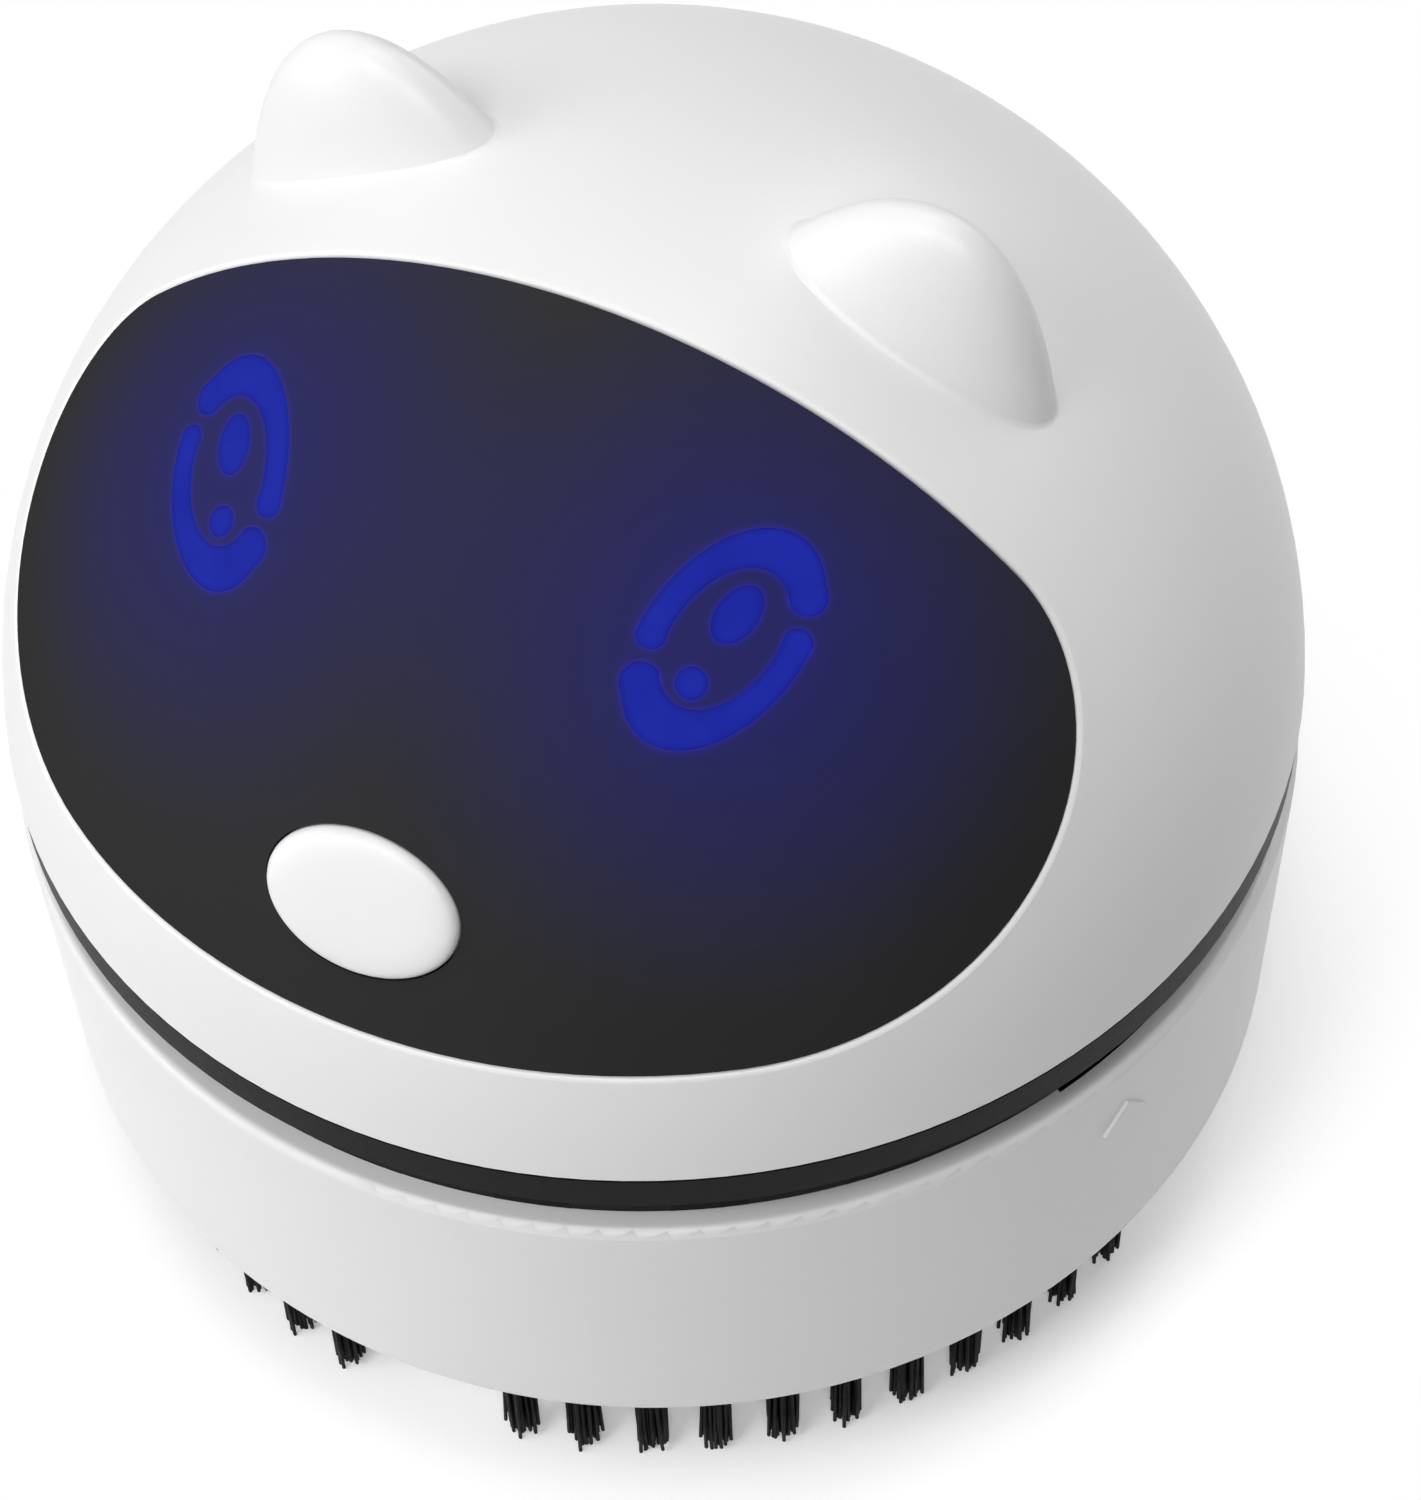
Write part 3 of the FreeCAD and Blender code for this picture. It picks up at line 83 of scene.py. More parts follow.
# Eye shapes: half widths and half heights, and the places of the dots from the eye's centre
EYE_OUTER = (4.15 * MM, 6.75 * MM)
EYE_INNER = (2.7 * MM, 4.3 * MM)
STROKE_START = 56.0                 # degrees round the ring, and again half a turn on
STROKE_END = 204.0
BIG_DOT = (1.1 * MM, 1.75 * MM)
BIG_DOT_PLACE = (-0.3 * MM, 1.4 * MM)
SMALL_DOT = (0.85 * MM, 0.85 * MM)
SMALL_DOT_PLACE = (0.15 * MM, -2.9 * MM)
SOFT_EDGE = 0.4 * MM                # over which the light fades on each side of an edge
SLIT_REACH = 0.05 * MM              # about the slit between light guide and panel

# Wall behind the edge of the neck's flange
RIM_RADIUS = 38.49 * MM
RIM_WALL = 0.35 * MM
RIM_HEIGHTS = (31.505 * MM, 32.635 * MM)   # of its lower and upper edges
RIM_SIDES = 240

# Tufts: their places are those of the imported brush, and their nodes follow the quarters from +X
CUP_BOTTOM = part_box("dust_cup")[0].z
TUFT_CIRCLE = 35.6 * MM
TUFT_PLACES = 54
FRONT_PLACES_LEFT_OUT = 2
SIDE_PLACES_LEFT_OUT = 3
TUFT_NODES = ("tufts_rear_right", "tufts_rear_left", "tufts_front_left", "tufts_front_right")
BRISTLES = 40                       # in each tuft
BRISTLE_RADIUS = 0.17 * MM
BRISTLE_TAPER_SHARE = 0.25          # of the radius, lost on the way to the tip
BRISTLE_BEND = 0.12 * MM            # at most, along each level direction
BRISTLE_SIDES = 5
BRISTLE_STEPS = 4
TUFT_ROOT_SPREAD = 0.88 * MM
TUFT_ROOT_RISE = 0.9 * MM           # above the underside of the cup, inside the brush ring
TUFT_TIP_SPREAD = 1.12 * MM
TIP_REACH_SHARES = (0.75, 1.1)      # of a bristle's own reach from the middle
TIP_UNEVENNESS = 0.35 * MM
TIP_RISE = 0.5 * MM                 # of the outermost tips above the middle ones
FULL_LENGTH_EVERY = 4               # one bristle in so many stands on the floor
SPIN_STEP = math.pi * (3 - math.sqrt(5))   # radians, the golden angle
SPIN_SCATTER = 0.3                  # radians
TUFT_SEED = 7

# Surfaces: how fine their patterns are, and how high their grain stands
NOISE_RANGE = (0.3, 0.7)            # in which most values of a noise lie
CLOUD_SCALE = 60.0
GRAIN_SCALE = 2600.0
METAL_SCALE = 1500.0
THREAD_SCALE = 420.0
TRACK_SCALE = 260.0
WHITE_GRAIN = 0.002 * MM
INNER_GRAIN = 0.02 * MM
DARK_GRAIN = 0.015 * MM
RESIN_GRAIN = 0.005 * MM
SLEEVE_GRAIN = 0.01 * MM
COARSE_GRAIN = 0.03 * MM
METAL_GRAIN = 0.01 * MM
PANEL_GRAIN = 0.01 * MM
THREAD_HEIGHT = 0.08 * MM
TRACK_HEIGHT = 0.02 * MM

# Panel: its colours, the wide halos round the eyes and the glows about the edges of the lit shapes
PANEL_SHADES = ((0.0285, 0.0285, 0.029), (0.0315, 0.0315, 0.032))
HALO_SHADE = (0.0225, 0.0215, 0.026)
HALO_REACH = (2 * MM, 22 * MM)      # from the eye's centre: all of the halo, and none of it
HALO_LEVEL = 0.09
GLOW_COLOUR = (0.02, 0.02, 1.0)
WIDE_GLOW = 2.6 * MM
GLOWS = ((WIDE_GLOW, 0.035), (SOFT_EDGE, 0.24), (SLIT_REACH, 0.12))   # reach and level of each

# Light guides: how bright they are at the ends of their soft edges and down in the slit
GUIDE_SHADE = (0.008, 0.009, 0.03)
GUIDE_LIGHT = ((0.006, 0.013, 0.31), (0.009, 0.018, 0.36))
EDGE_LEVEL = 0.3
SLIT_LEVEL = 0.25
SLIT_SHARES = (1.5, 0.5)            # of the slit's reach, inside the edge: no light added, and all


def camera_axes():
    """The camera's right, up and back directions."""
    turn = Matrix.Rotation(math.radians(CAMERA_AZIMUTH), 3, "Z")
    level_reach = math.cos(CAMERA_PITCH)
    forward = Vector((math.sin(CAMERA_YAW) * level_reach, math.cos(CAMERA_YAW) * level_reach,
                      -math.sin(CAMERA_PITCH)))
    level = Vector((math.cos(CAMERA_YAW), -math.sin(CAMERA_YAW), 0))
    plumb = forward.cross(level)
    right = level * math.cos(CAMERA_ROLL) + plumb * math.sin(CAMERA_ROLL)
    down = plumb * math.cos(CAMERA_ROLL) - level * math.sin(CAMERA_ROLL)
    return turn @ right, turn @ -down, turn @ -forward


def add_camera():
    """The camera of the photograph."""
    data = bpy.data.cameras.new("camera")
    data.sensor_fit = "AUTO"
    data.sensor_width = SENSOR_MM
    data.lens = FOCAL_PIXELS * SENSOR_MM / PHOTO_LONG_SIDE
    data.clip_start = CAMERA_NEAR
    data.clip_end = CAMERA_FAR
    camera = bpy.data.objects.new("camera", data)
    bpy.context.scene.collection.objects.link(camera)
    azimuth = math.radians(CAMERA_AZIMUTH)
    place = Vector((CAMERA_DISTANCE * math.sin(azimuth), -CAMERA_DISTANCE * math.cos(azimuth),
                    CAMERA_HEIGHT))
    axes = Matrix(camera_axes()).transposed().to_4x4()
    camera.matrix_world = Matrix.Translation(place) @ axes
    bpy.context.scene.camera = camera


def level_directions():
    """Right and away on the floor, as the camera sees them."""
    azimuth = math.radians(CAMERA_AZIMUTH)
    right = Vector((math.cos(azimuth), math.sin(azimuth), 0))
    away = Vector((-math.sin(azimuth), math.cos(azimuth), 0))
    return right, away


def add_lamp(name, bearing, elevation, watts, size=LAMP_SIZE):
    """A square lamp aimed at the body, its bearing in degrees from away, over the camera's right."""
    right, away = level_directions()
    turn = math.radians(bearing)
    rise = math.radians(elevation)
    level = away * math.cos(turn) + right * math.sin(turn)
    place = (level * math.cos(rise) + Vector((0, 0, math.sin(rise)))) * LAMP_DISTANCE
    data = bpy.data.lights.new(name, "AREA")
    data.shape = "SQUARE"
    data.size = size
    data.energy = watts
    lamp = bpy.data.objects.new(name, data)
    bpy.context.scene.collection.objects.link(lamp)
    aim = SHELL_CENTRE - place
    lamp.matrix_world = Matrix.Translation(place) @ aim.to_track_quat("-Z", "Y").to_matrix().to_4x4()


def add_lights():
    """Soft studio light, strongest from the left and from above."""
    add_lamp("left", bearing=-90, elevation=20, watts=2.25)
    add_lamp("front_left_low", bearing=-112, elevation=20, watts=1.45)
    add_lamp("front_left_high", bearing=-135, elevation=50, watts=1.86, size=KEY_SIZE)
    add_lamp("front_high", bearing=180, elevation=50, watts=1.48, size=KEY_SIZE)
    add_lamp("above", bearing=0, elevation=88, watts=2.45)
    add_lamp("back_right", bearing=45, elevation=40, watts=1.80)


# Node helpers

def new_material(name):
    """A material with an empty node tree, its output and a Principled shader joined to it."""
    material = bpy.data.materials.new(name)
    material.use_nodes = True
    tree = material.node_tree
    tree.nodes.clear()
    output = tree.nodes.new("ShaderNodeOutputMaterial")
    shader = tree.nodes.new("ShaderNodeBsdfPrincipled")
    tree.links.new(shader.outputs["BSDF"], output.inputs["Surface"])
    return material, tree, shader


def place_node(tree):
    """The place of a point in the frame of the model, because every piece stands in that frame."""
    return tree.nodes.new("ShaderNodeTexCoord").outputs["Object"]


def noise(tree, place, scale, detail=3.0):
    node = tree.nodes.new("ShaderNodeTexNoise")
    node.inputs["Scale"].default_value = scale
    node.inputs["Detail"].default_value = detail
    tree.links.new(place, node.inputs["Vector"])
    return node.outputs["Fac"]


def spread(tree, value, low, high):
    """A noise's value, spread over the range from low to high."""
    node = tree.nodes.new("ShaderNodeMapRange")
    node.inputs["From Min"].default_value = NOISE_RANGE[0]
    node.inputs["From Max"].default_value = NOISE_RANGE[1]
    node.inputs["To Min"].default_value = low
    node.inputs["To Max"].default_value = high
    tree.links.new(value, node.inputs["Value"])
    return node.outputs["Result"]


def colour_between(tree, value, first, second):
    """A colour between the two that follows a noise's value."""
    node = tree.nodes.new("ShaderNodeValToRGB")
    for element, position, colour in zip(node.color_ramp.elements, NOISE_RANGE, (first, second)):
        element.position = position
        element.color = (*colour, 1)
    tree.links.new(value, node.inputs["Fac"])
    return node.outputs["Color"]


def bump(tree, shader, height, distance, strength):
    """Lets a pattern stand out of the surface by a distance."""
    node = tree.nodes.new("ShaderNodeBump")
    node.inputs["Strength"].default_value = strength
    node.inputs["Distance"].default_value = distance
    tree.links.new(height, node.inputs["Height"])
    tree.links.new(node.outputs["Normal"], shader.inputs["Normal"])


def feed(tree, node, values):
    """Sets or links a node's first inputs."""
    for socket, value in zip(node.inputs, values):
        if isinstance(value, bpy.types.NodeSocket):
            tree.links.new(value, socket)
        else:
            socket.default_value = value


def calculate(tree, operation, first, second=0):
    """The result of an operation on one or two numbers."""
    node = tree.nodes.new("ShaderNodeMath")
    node.operation = operation
    feed(tree, node, (first, second))
    return node.outputs[0]


def with_vectors(tree, operation, first, second=(0, 0, 0)):
    """The result of an operation on one or two vectors, as a vector or a number."""
    node = tree.nodes.new("ShaderNodeVectorMath")
    node.operation = operation
    feed(tree, node, (first, second))
    numbers = ("DOT_PRODUCT", "LENGTH", "DISTANCE")
    return node.outputs["Value" if operation in numbers else "Vector"]


def combined(tree, *values):
    node = tree.nodes.new("ShaderNodeCombineXYZ")
    feed(tree, node, values)
    return node.outputs["Vector"]


def fade(tree, value, near, far, low=0):
    """One up to near, low beyond far, smooth between."""
    node = tree.nodes.new("ShaderNodeMapRange")
    node.interpolation_type = "SMOOTHSTEP"
    node.inputs["From Min"].default_value = near
    node.inputs["From Max"].default_value = far
    node.inputs["To Min"].default_value = 1
    node.inputs["To Max"].default_value = low
    tree.links.new(value, node.inputs["Value"])
    return node.outputs["Result"]


def seen_rays(tree, strength):
    """A strength for the rays that show the surface, and nothing for those that light the scene."""
    path = tree.nodes.new("ShaderNodeLightPath")
    seen = calculate(tree, "MAXIMUM", path.outputs["Is Camera Ray"], path.outputs["Is Glossy Ray"])
    seen = calculate(tree, "MAXIMUM", seen, path.outputs["Is Transmission Ray"])
    return calculate(tree, "MULTIPLY", seen, strength)


# Moulded, metal and woven materials

def darkened(colour, shade):
    return tuple(part * shade for part in colour)


def uneven_gloss(tree, shader, pattern, roughness, span):
    """Roughness that goes up and down by a span with a pattern."""
    tree.links.new(spread(tree, pattern, roughness - span, roughness + span),
                   shader.inputs["Roughness"])


def moulded(name, colour, shade, roughness, grain, specular=0.5):
    """Moulded plastic: faint mottling, uneven gloss and a fine surface grain."""
    material, tree, shader = new_material(name)
    place = place_node(tree)
    cloud = noise(tree, place, CLOUD_SCALE)
    fine = noise(tree, place, GRAIN_SCALE, detail=2.0)
    tree.links.new(colour_between(tree, cloud, darkened(colour, shade), colour),
                   shader.inputs["Base Color"])
    uneven_gloss(tree, shader, fine, roughness, span=0.03)
    shader.inputs["Specular IOR Level"].default_value = specular
    bump(tree, shader, fine, grain, strength=0.3)
    return material


def metal(name, colour, roughness, streak=(1, 1, 1)):
    """Worked metal: uneven gloss, stretched along one axis where it is brushed."""
    material, tree, shader = new_material(name)
    stretch = tree.nodes.new("ShaderNodeMapping")
    stretch.inputs["Scale"].default_value = streak
    tree.links.new(place_node(tree), stretch.inputs["Vector"])
    fine = noise(tree, stretch.outputs["Vector"], METAL_SCALE, detail=4.0)
    tree.links.new(colour_between(tree, fine, darkened(colour, shade=0.82), colour),
                   shader.inputs["Base Color"])
    uneven_gloss(tree, shader, fine, roughness, span=0.08)
    shader.inputs["Metallic"].default_value = 1.0
    bump(tree, shader, fine, METAL_GRAIN, strength=0.4)
    return material


def woven(name, colour):
    """Fine filter cloth: crossed threads."""
    material, tree, shader = new_material(name)
    place = place_node(tree)
    heights = []
    for axis in ("X", "Y"):
        wave = tree.nodes.new("ShaderNodeTexWave")
        wave.bands_direction = axis
        wave.inputs["Scale"].default_value = THREAD_SCALE
        tree.links.new(place, wave.inputs["Vector"])
        heights.append(wave.outputs["Fac"])
    threads = calculate(tree, "MAXIMUM", heights[0], heights[1])
    tree.links.new(colour_between(tree, threads, darkened(colour, shade=0.45), colour),
                   shader.inputs["Base Color"])
    shader.inputs["Roughness"].default_value = 0.85
    bump(tree, shader, threads, THREAD_HEIGHT, strength=0.8)
    return material


# Eye shapes on the shell

def eye_axes(side):
    """The centre of an eye on the shell and its two directions in the surface."""
    x = EYE_X * side
    height = SHELL_CENTRE.z + math.sqrt(SHELL_RADIUS ** 2 - x ** 2 - EYE_Y ** 2)
    centre = Vector((x, EYE_Y, height))
    normal = (centre - SHELL_CENTRE).normalized()
    slope = Vector((0, normal.z, -normal.y)).normalized()
    across = slope.cross(normal)
    turn = math.radians(EYE_TILT * side)
    u = across * math.cos(turn) + slope * math.sin(turn)
    v = slope * math.cos(turn) - across * math.sin(turn)
    return centre, u, v


def in_nearer_eye(tree, place):
    """Places along the nearer eye's two directions, with both halves of the face as one."""
    centre, u, v = eye_axes(1)
    parts = tree.nodes.new("ShaderNodeSeparateXYZ")
    tree.links.new(place, parts.inputs["Vector"])
    folded = combined(tree, calculate(tree, "ABSOLUTE", parts.outputs["X"]), parts.outputs["Y"],
                      parts.outputs["Z"])
    offset = with_vectors(tree, "SUBTRACT", folded, centre)
    return combined(tree, with_vectors(tree, "DOT_PRODUCT", offset, u),
                    with_vectors(tree, "DOT_PRODUCT", offset, v))


def oval_gap(tree, flat, halves, middle=(0, 0)):
    """How far a place lies outside an oval; inside it, the gap is below zero."""
    shares = (1 / halves[0], 1 / halves[1], 0)
    offset = with_vectors(tree, "SUBTRACT", flat, (*middle, 0))
    scaled = with_vectors(tree, "MULTIPLY", offset, shares)
    reach = with_vectors(tree, "LENGTH", scaled)
    steepness = with_vectors(tree, "LENGTH", with_vectors(tree, "MULTIPLY", scaled, shares))
    beyond = calculate(tree, "MULTIPLY", calculate(tree, "SUBTRACT", reach, 1), reach)
    return calculate(tree, "DIVIDE", beyond, steepness)


def on_oval(halves, angle):
    """The point of an oval at an angle in degrees."""
    turn = math.radians(angle)
    return Vector((halves[0] * math.cos(turn), halves[1] * math.sin(turn), 0))


def stroke_gap(tree, flat):
    """How far a place lies outside the two hooked strokes, their round ends among them."""
    beyond = calculate(tree, "MAXIMUM", oval_gap(tree, flat, EYE_OUTER),
                       calculate(tree, "MULTIPLY", oval_gap(tree, flat, EYE_INNER), -1))
    sides = []
    for angle in (STROKE_START, STROKE_END):
        edge = on_oval(EYE_OUTER, angle)
        sides.append(with_vectors(tree, "DOT_PRODUCT", flat, (-edge.y, edge.x, 0)))
    between = calculate(tree, "MULTIPLY", sides[0], sides[1])
    off_stroke = calculate(tree, "GREATER_THAN", between, 0)
    gap = calculate(tree, "ADD", beyond, calculate(tree, "MULTIPLY", off_stroke, EYE_OUTER[1]))
    for angle in (STROKE_START, STROKE_END, STROKE_START + 180, STROKE_END + 180):
        outer = on_oval(EYE_OUTER, angle)
        inner = on_oval(EYE_INNER, angle)
        from_middle = with_vectors(tree, "DISTANCE", flat, (outer + inner) / 2)
        cap = calculate(tree, "SUBTRACT", from_middle, (outer - inner).length / 2)
        gap = calculate(tree, "MINIMUM", gap, cap)
    return gap


def eye_gap(tree, place):
    """How far a place lies outside the lit shapes of the nearer eye."""
    flat = in_nearer_eye(tree, place)
    gap = stroke_gap(tree, flat)
    for halves, middle in ((BIG_DOT, BIG_DOT_PLACE), (SMALL_DOT, SMALL_DOT_PLACE)):
        gap = calculate(tree, "MINIMUM", gap, oval_gap(tree, flat, halves, middle))
    return gap


# Materials of the face, the boards and the bristles

def smoked_panel():
    """Dark satin panel that the eye lamps light from behind in two wide blue glows."""
    material, tree, shader = new_material("smoked_panel")
    place = place_node(tree)
    halos = []
    for side in (1, -1):
        from_eye = with_vectors(tree, "DISTANCE", place, eye_axes(side)[0])
        halos.append(fade(tree, from_eye, *HALO_REACH))
    halo = calculate(tree, "ADD", halos[0], halos[1])
    gap = eye_gap(tree, place)
    cloud = noise(tree, place, scale=45.0)
    fine = noise(tree, place, scale=2400.0, detail=2.0)
    plain = colour_between(tree, cloud, *PANEL_SHADES)
    mix = tree.nodes.new("ShaderNodeMix")
    mix.data_type = "RGBA"
    tree.links.new(calculate(tree, "MINIMUM", halo, 1), mix.inputs["Factor"])
    tree.links.new(plain, mix.inputs["A"])
    mix.inputs["B"].default_value = (*HALO_SHADE, 1)
    tree.links.new(mix.outputs["Result"], shader.inputs["Base Color"])
    strength = calculate(tree, "MULTIPLY", halo, HALO_LEVEL)
    for reach, level in GLOWS:
        glow = calculate(tree, "MULTIPLY", fade(tree, gap, -reach, reach), level)
        strength = calculate(tree, "ADD", strength, glow)
    shader.inputs["Emission Color"].default_value = (*GLOW_COLOUR, 1)
    tree.links.new(strength, shader.inputs["Emission Strength"])
    uneven_gloss(tree, shader, fine, roughness=0.39, span=0.03)
    shader.inputs["Specular IOR Level"].default_value = 0
    bump(tree, shader, fine, PANEL_GRAIN, strength=0.25)
    return material


def blue_light():
    """Lit light guide: an even blue with a slightly deeper cloud in it, softer at its edges."""
    material, tree, shader = new_material("blue_light")
    place = place_node(tree)
    cloud = noise(tree, place, scale=300.0)
    shader.inputs["Base Color"].default_value = (*GUIDE_SHADE, 1)
    tree.links.new(colour_between(tree, cloud, *GUIDE_LIGHT), shader.inputs["Emission Color"])
    gap = eye_gap(tree, place)
    before_slit = fade(tree, gap, *(-share * SLIT_REACH for share in SLIT_SHARES))
    in_slit = calculate(tree, "SUBTRACT", 1, before_slit)
    even = fade(tree, gap, -SOFT_EDGE, SOFT_EDGE, low=EDGE_LEVEL)
    added = calculate(tree, "MULTIPLY", in_slit, SLIT_LEVEL)
    tree.links.new(calculate(tree, "ADD", even, added), shader.inputs["Emission Strength"])
    shader.inputs["Roughness"].default_value = 0.4
    shader.inputs["Specular IOR Level"].default_value = 0
    return material


def board_green():
    """Circuit board lacquer with a faint pattern of tracks under it."""
    material, tree, shader = new_material("circuit_board")
    place = place_node(tree)
    tracks = tree.nodes.new("ShaderNodeTexBrick")
    tracks.inputs["Scale"].default_value = TRACK_SCALE
    tracks.inputs["Color1"].default_value = (0.010, 0.085, 0.040, 1)
    tracks.inputs["Color2"].default_value = (0.012, 0.100, 0.046, 1)
    tracks.inputs["Mortar"].default_value = (0.030, 0.190, 0.090, 1)
    tracks.inputs["Mortar Size"].default_value = 0.03
    tree.links.new(place, tracks.inputs["Vector"])
    tree.links.new(tracks.outputs["Color"], shader.inputs["Base Color"])
    shader.inputs["Roughness"].default_value = 0.35
    bump(tree, shader, tracks.outputs["Fac"], TRACK_HEIGHT, strength=0.4)
    return material


def bristle_nylon():
    """Black nylon, dull and slightly cloudy."""
    material, tree, shader = new_material("bristle_nylon")
    place = place_node(tree)
    cloud = noise(tree, place, scale=900.0)
    tree.links.new(colour_between(tree, cloud, (0.003, 0.003, 0.0035), (0.007, 0.007, 0.0075)),
                   shader.inputs["Base Color"])
    uneven_gloss(tree, shader, cloud, roughness=0.5, span=0.08)
    shader.inputs["Specular IOR Level"].default_value = 0.05
    return material


def make_materials():
    """One material for each slot of the record."""
    return {
        "white_plastic": moulded("white_plastic", (0.79, 0.79, 0.79), shade=0.985, roughness=0.36,
                                 grain=WHITE_GRAIN),
        "white_inner": moulded("white_inner", (0.74, 0.74, 0.73), shade=0.96, roughness=0.5,
                               grain=INNER_GRAIN),
        "dark_plastic": moulded("dark_plastic", (0.006, 0.006, 0.0065), shade=0.85, roughness=0.45,
                                grain=DARK_GRAIN, specular=0.07),
        "lamp_resin": moulded("lamp_resin", (0.55, 0.60, 0.75), shade=0.9, roughness=0.2,
                              grain=RESIN_GRAIN),
        "cell_sleeve": moulded("cell_sleeve", (0.03, 0.12, 0.32), shade=0.85, roughness=0.25,
                               grain=SLEEVE_GRAIN),
        "magnet_ferrite": moulded("magnet_ferrite", (0.06, 0.06, 0.06), shade=0.7, roughness=0.7,
                                  grain=COARSE_GRAIN),
        "seal_rubber": moulded("seal_rubber", (0.018, 0.018, 0.018), shade=0.8, roughness=0.75,
                               grain=COARSE_GRAIN),
        "smoked_panel": smoked_panel(),
        "blue_light": blue_light(),
        "circuit_board": board_green(),
        "bristle_nylon": bristle_nylon(),
        "filter_cloth": woven("filter_cloth", (0.72, 0.72, 0.68)),
        "zinc_steel": metal("zinc_steel", (0.60, 0.60, 0.61), roughness=0.35),
        "port_steel": metal("port_steel", (0.66, 0.66, 0.67), roughness=0.28, streak=(1, 8, 1)),
        "nickel_strip": metal("nickel_strip", (0.62, 0.60, 0.56), roughness=0.4, streak=(1, 1, 6)),
        "brass_terminal": metal("brass_terminal", (0.76, 0.58, 0.27), roughness=0.35),
        "bush_brass": metal("bush_brass", (0.58, 0.43, 0.24), roughness=0.5),
        "armature_steel": metal("armature_steel", (0.32, 0.31, 0.30), roughness=0.5,
                                streak=(1, 1, 12)),
    }


def dress_nodes(materials):
    """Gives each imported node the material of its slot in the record."""
    for entry in frame["record"]["subparts"]:
        node = frame["nodes"][entry["node"]]
        node.data.materials.clear()
        node.data.materials.append(materials[entry["material_slot"]])


# Pieces

def add_piece(name, vertices, faces, material, smooth=True):
    """A mesh piece in the frame of the model."""
    mesh = bpy.data.meshes.new(name)
    mesh.from_pydata(vertices, [], faces)
    if smooth:
        mesh.shade_smooth()
    mesh.materials.append(material)
    piece = bpy.data.objects.new(name, mesh)
    bpy.context.scene.collection.objects.link(piece)
    return piece


def add_neck_rim(materials):
    """Thin dark wall just behind the flange's edge, so that its notches show no light."""
    vertices = []
    faces = []
    for number in range(RIM_SIDES):
        turn = 2 * math.pi * number / RIM_SIDES
        for radius in (RIM_RADIUS, RIM_RADIUS - RIM_WALL):
            for height in RIM_HEIGHTS:
                vertices.append((radius * math.cos(turn), radius * math.sin(turn), height))
        corner = 4 * number
        after = 4 * ((number + 1) % RIM_SIDES)
        for first, second in ((0, 1), (1, 3), (3, 2), (2, 0)):
            faces.append((corner + second, corner + first, after + first, after + second))
    rim = add_piece("neck_rim", vertices, faces, materials["dark_plastic"])
    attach(rim, "body")


# Bristles

def tuft_angles():
    """Angles from +X of the tufts, with bare places at the front, the back and the sides."""
    step = 360 / TUFT_PLACES
    angles = []
    for number in range(TUFT_PLACES):
        angle = (number + 0.5) * step - 90
        from_side = abs((angle + 90) % 180 - 90)
        bare_side = from_side < SIDE_PLACES_LEFT_OUT / 2 * step
        bare_front = 90 - from_side < FRONT_PLACES_LEFT_OUT / 2 * step
        if not bare_side and not bare_front:
            angles.append(angle)
    return angles


def add_bristle(vertices, faces, root, tip, bend):
    """A thin rod from root to tip with a slight bend."""
    start = len(vertices)
    for step in range(BRISTLE_STEPS + 1):
        share = step / BRISTLE_STEPS
        middle = root.lerp(tip, share) + bend * math.sin(math.pi * share)
        radius = BRISTLE_RADIUS * (1 - BRISTLE_TAPER_SHARE * share)
        for side in range(BRISTLE_SIDES):
            turn = 2 * math.pi * side / BRISTLE_SIDES
            vertices.append(middle + Vector((radius * math.cos(turn), radius * math.sin(turn), 0)))
    for step in range(BRISTLE_STEPS):
        for side in range(BRISTLE_SIDES):
            low = start + step * BRISTLE_SIDES
            after = (side + 1) % BRISTLE_SIDES
            faces.append((low + side, low + after, low + BRISTLE_SIDES + after,
                          low + BRISTLE_SIDES + side))
    last = start + BRISTLE_STEPS * BRISTLE_SIDES
    faces.append([start + side for side in reversed(range(BRISTLE_SIDES))])
    faces.append([last + side for side in range(BRISTLE_SIDES)])


def add_tuft(vertices, faces, angle, draw):
    """One tuft: bristles in a round bunch that opens towards uneven tips."""
    turn = math.radians(angle)
    centre = Vector((TUFT_CIRCLE * math.cos(turn), TUFT_CIRCLE * math.sin(turn), 0))
    for number in range(BRISTLES):
        share = math.sqrt((number + 0.5) / BRISTLES)
        spin = number * SPIN_STEP + draw.uniform(-SPIN_SCATTER, SPIN_SCATTER)
        way = Vector((math.cos(spin), math.sin(spin), 0))
        root = centre + way * (TUFT_ROOT_SPREAD * share)
        root.z = CUP_BOTTOM + TUFT_ROOT_RISE
        tip = centre + way * (TUFT_TIP_SPREAD * share * draw.uniform(*TIP_REACH_SHARES))
        if number % FULL_LENGTH_EVERY:
            tip.z = draw.uniform(0, TIP_UNEVENNESS) + TIP_RISE * share ** 3
        bend = Vector((draw.uniform(-1, 1), draw.uniform(-1, 1), 0)) * BRISTLE_BEND
        add_bristle(vertices, faces, root, tip, bend)


def add_tufts(materials):
    """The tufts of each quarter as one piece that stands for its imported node."""
    draw = random.Random(TUFT_SEED)
    for quarter, node in enumerate(TUFT_NODES):
        vertices = []
        faces = []
        for angle in tuft_angles():
            if int(angle % 360 // 90) == quarter:
                add_tuft(vertices, faces, angle, draw)
        piece = add_piece("bristles_" + node, vertices, faces, materials["bristle_nylon"])
        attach(piece, "cup")
        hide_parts(node)


# Floor and surroundings

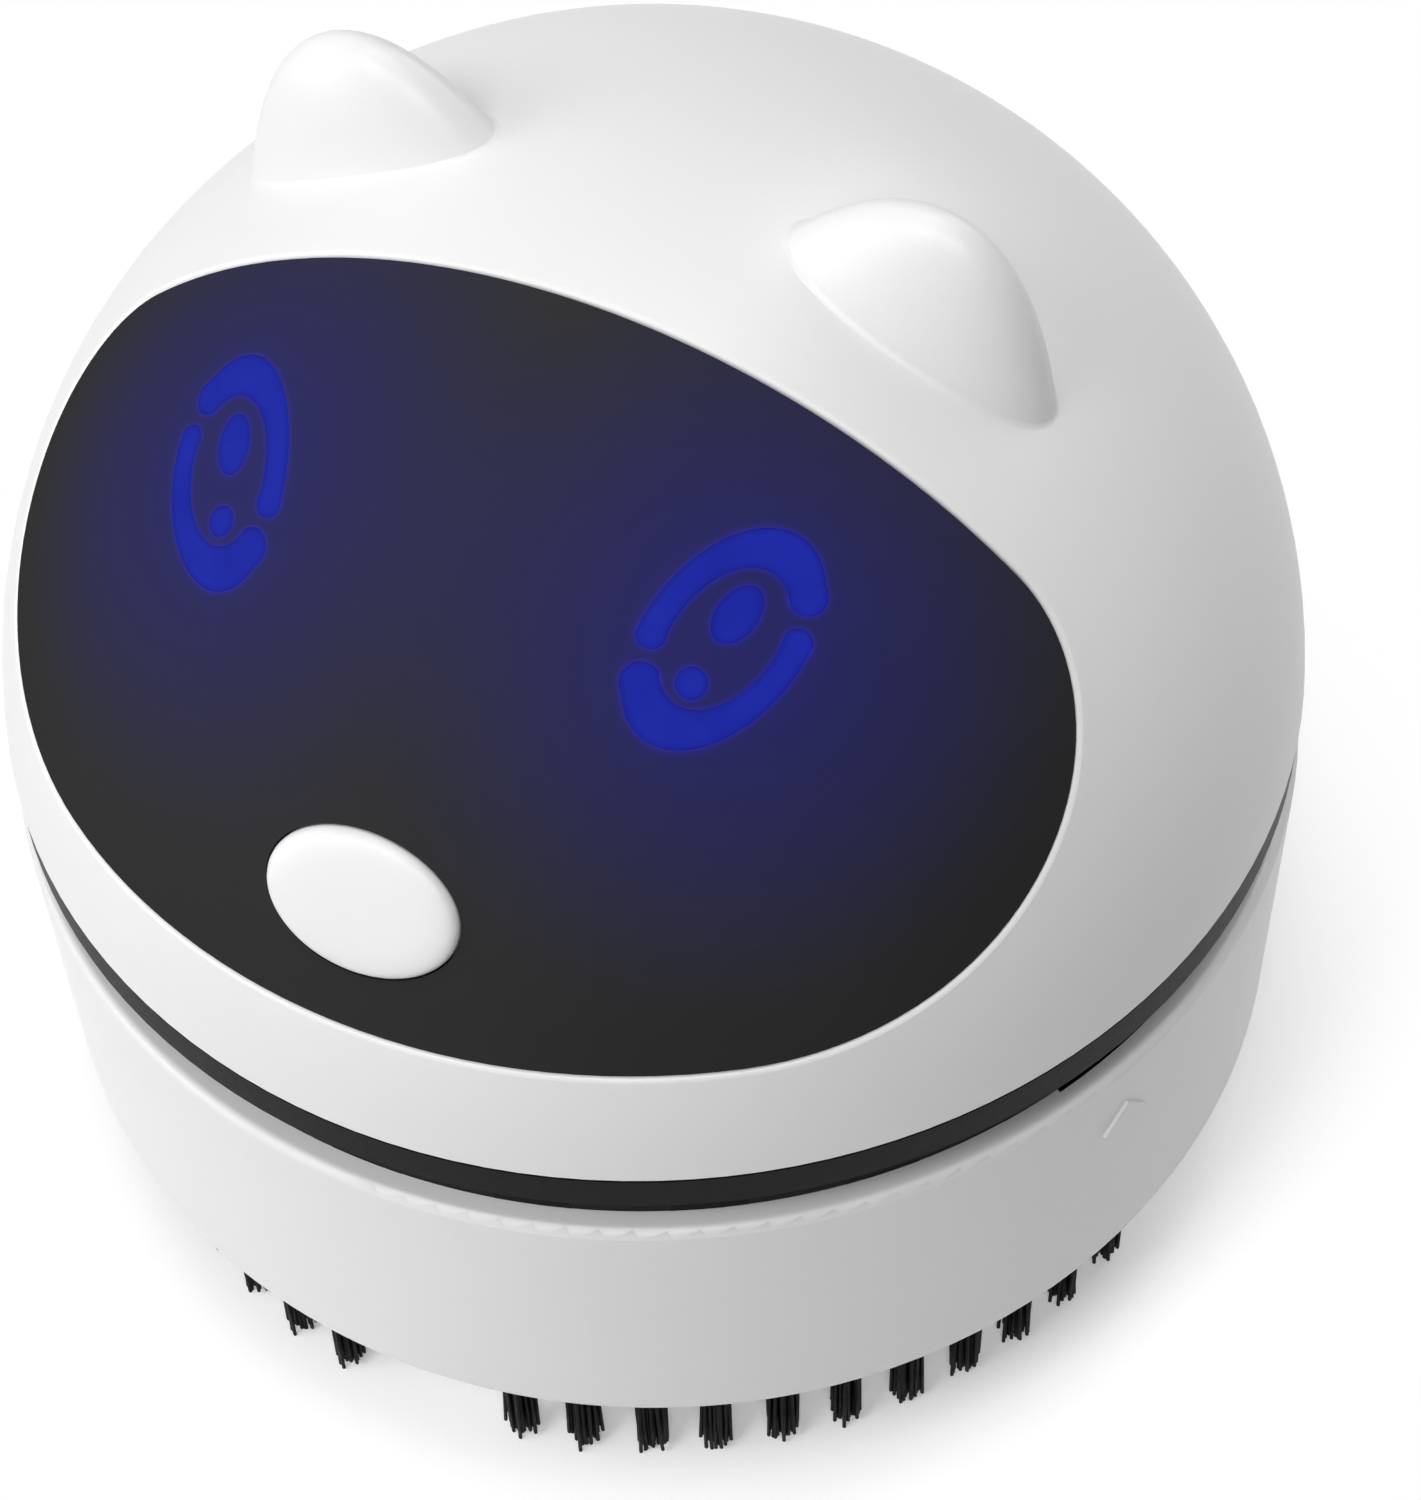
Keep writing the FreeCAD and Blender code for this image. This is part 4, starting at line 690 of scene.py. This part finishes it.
def add_floor():
    """Pale floor that keeps the object's shadow and turns plain white farther out."""
    corners = [(FLOOR_HALF * x, FLOOR_HALF * y, 0) for x, y in ((-1, -1), (1, -1), (1, 1), (-1, 1))]
    material = bpy.data.materials.new("floor")
    material.use_nodes = True
    tree = material.node_tree
    tree.nodes.clear()
    output = tree.nodes.new("ShaderNodeOutputMaterial")
    matt = tree.nodes.new("ShaderNodeBsdfDiffuse")
    near = fade(tree, with_vectors(tree, "LENGTH", place_node(tree)), *SHADOW_REACH)
    more = seen_rays(tree, calculate(tree, "SUBTRACT", near, FLOOR_SHADE))
    tree.links.new(calculate(tree, "ADD", more, FLOOR_SHADE), matt.inputs["Color"])
    lift = tree.nodes.new("ShaderNodeEmission")
    lift.inputs["Color"].default_value = (1, 1, 1, 1)
    shaded = calculate(tree, "MULTIPLY", near, 1 - FLOOR_LIFT)
    tree.links.new(seen_rays(tree, calculate(tree, "SUBTRACT", 1, shaded)), lift.inputs["Strength"])
    both = tree.nodes.new("ShaderNodeAddShader")
    tree.links.new(matt.outputs["BSDF"], both.inputs[0])
    tree.links.new(lift.outputs["Emission"], both.inputs[1])
    tree.links.new(both.outputs["Shader"], output.inputs["Surface"])
    floor = add_piece("floor", corners, [(0, 1, 2, 3)], material, smooth=False)


def set_world():
    """Even white surroundings, white to the camera and softer as a light."""
    world = bpy.data.worlds.new("world")
    world.use_nodes = True
    tree = world.node_tree
    tree.nodes.clear()
    output = tree.nodes.new("ShaderNodeOutputWorld")
    sky = tree.nodes.new("ShaderNodeBackground")
    sky.inputs["Color"].default_value = (1, 1, 1, 1)
    level = calculate(tree, "ADD", seen_rays(tree, 1 - WORLD_LEVEL), WORLD_LEVEL)
    tree.links.new(level, sky.inputs["Strength"])
    tree.links.new(sky.outputs["Background"], output.inputs["Surface"])
    bpy.context.scene.world = world


materials = make_materials()
dress_nodes(materials)
add_neck_rim(materials)
add_tufts(materials)
add_floor()
set_world()
add_camera()
add_lights()
bpy.context.scene.view_settings.view_transform = "Standard"
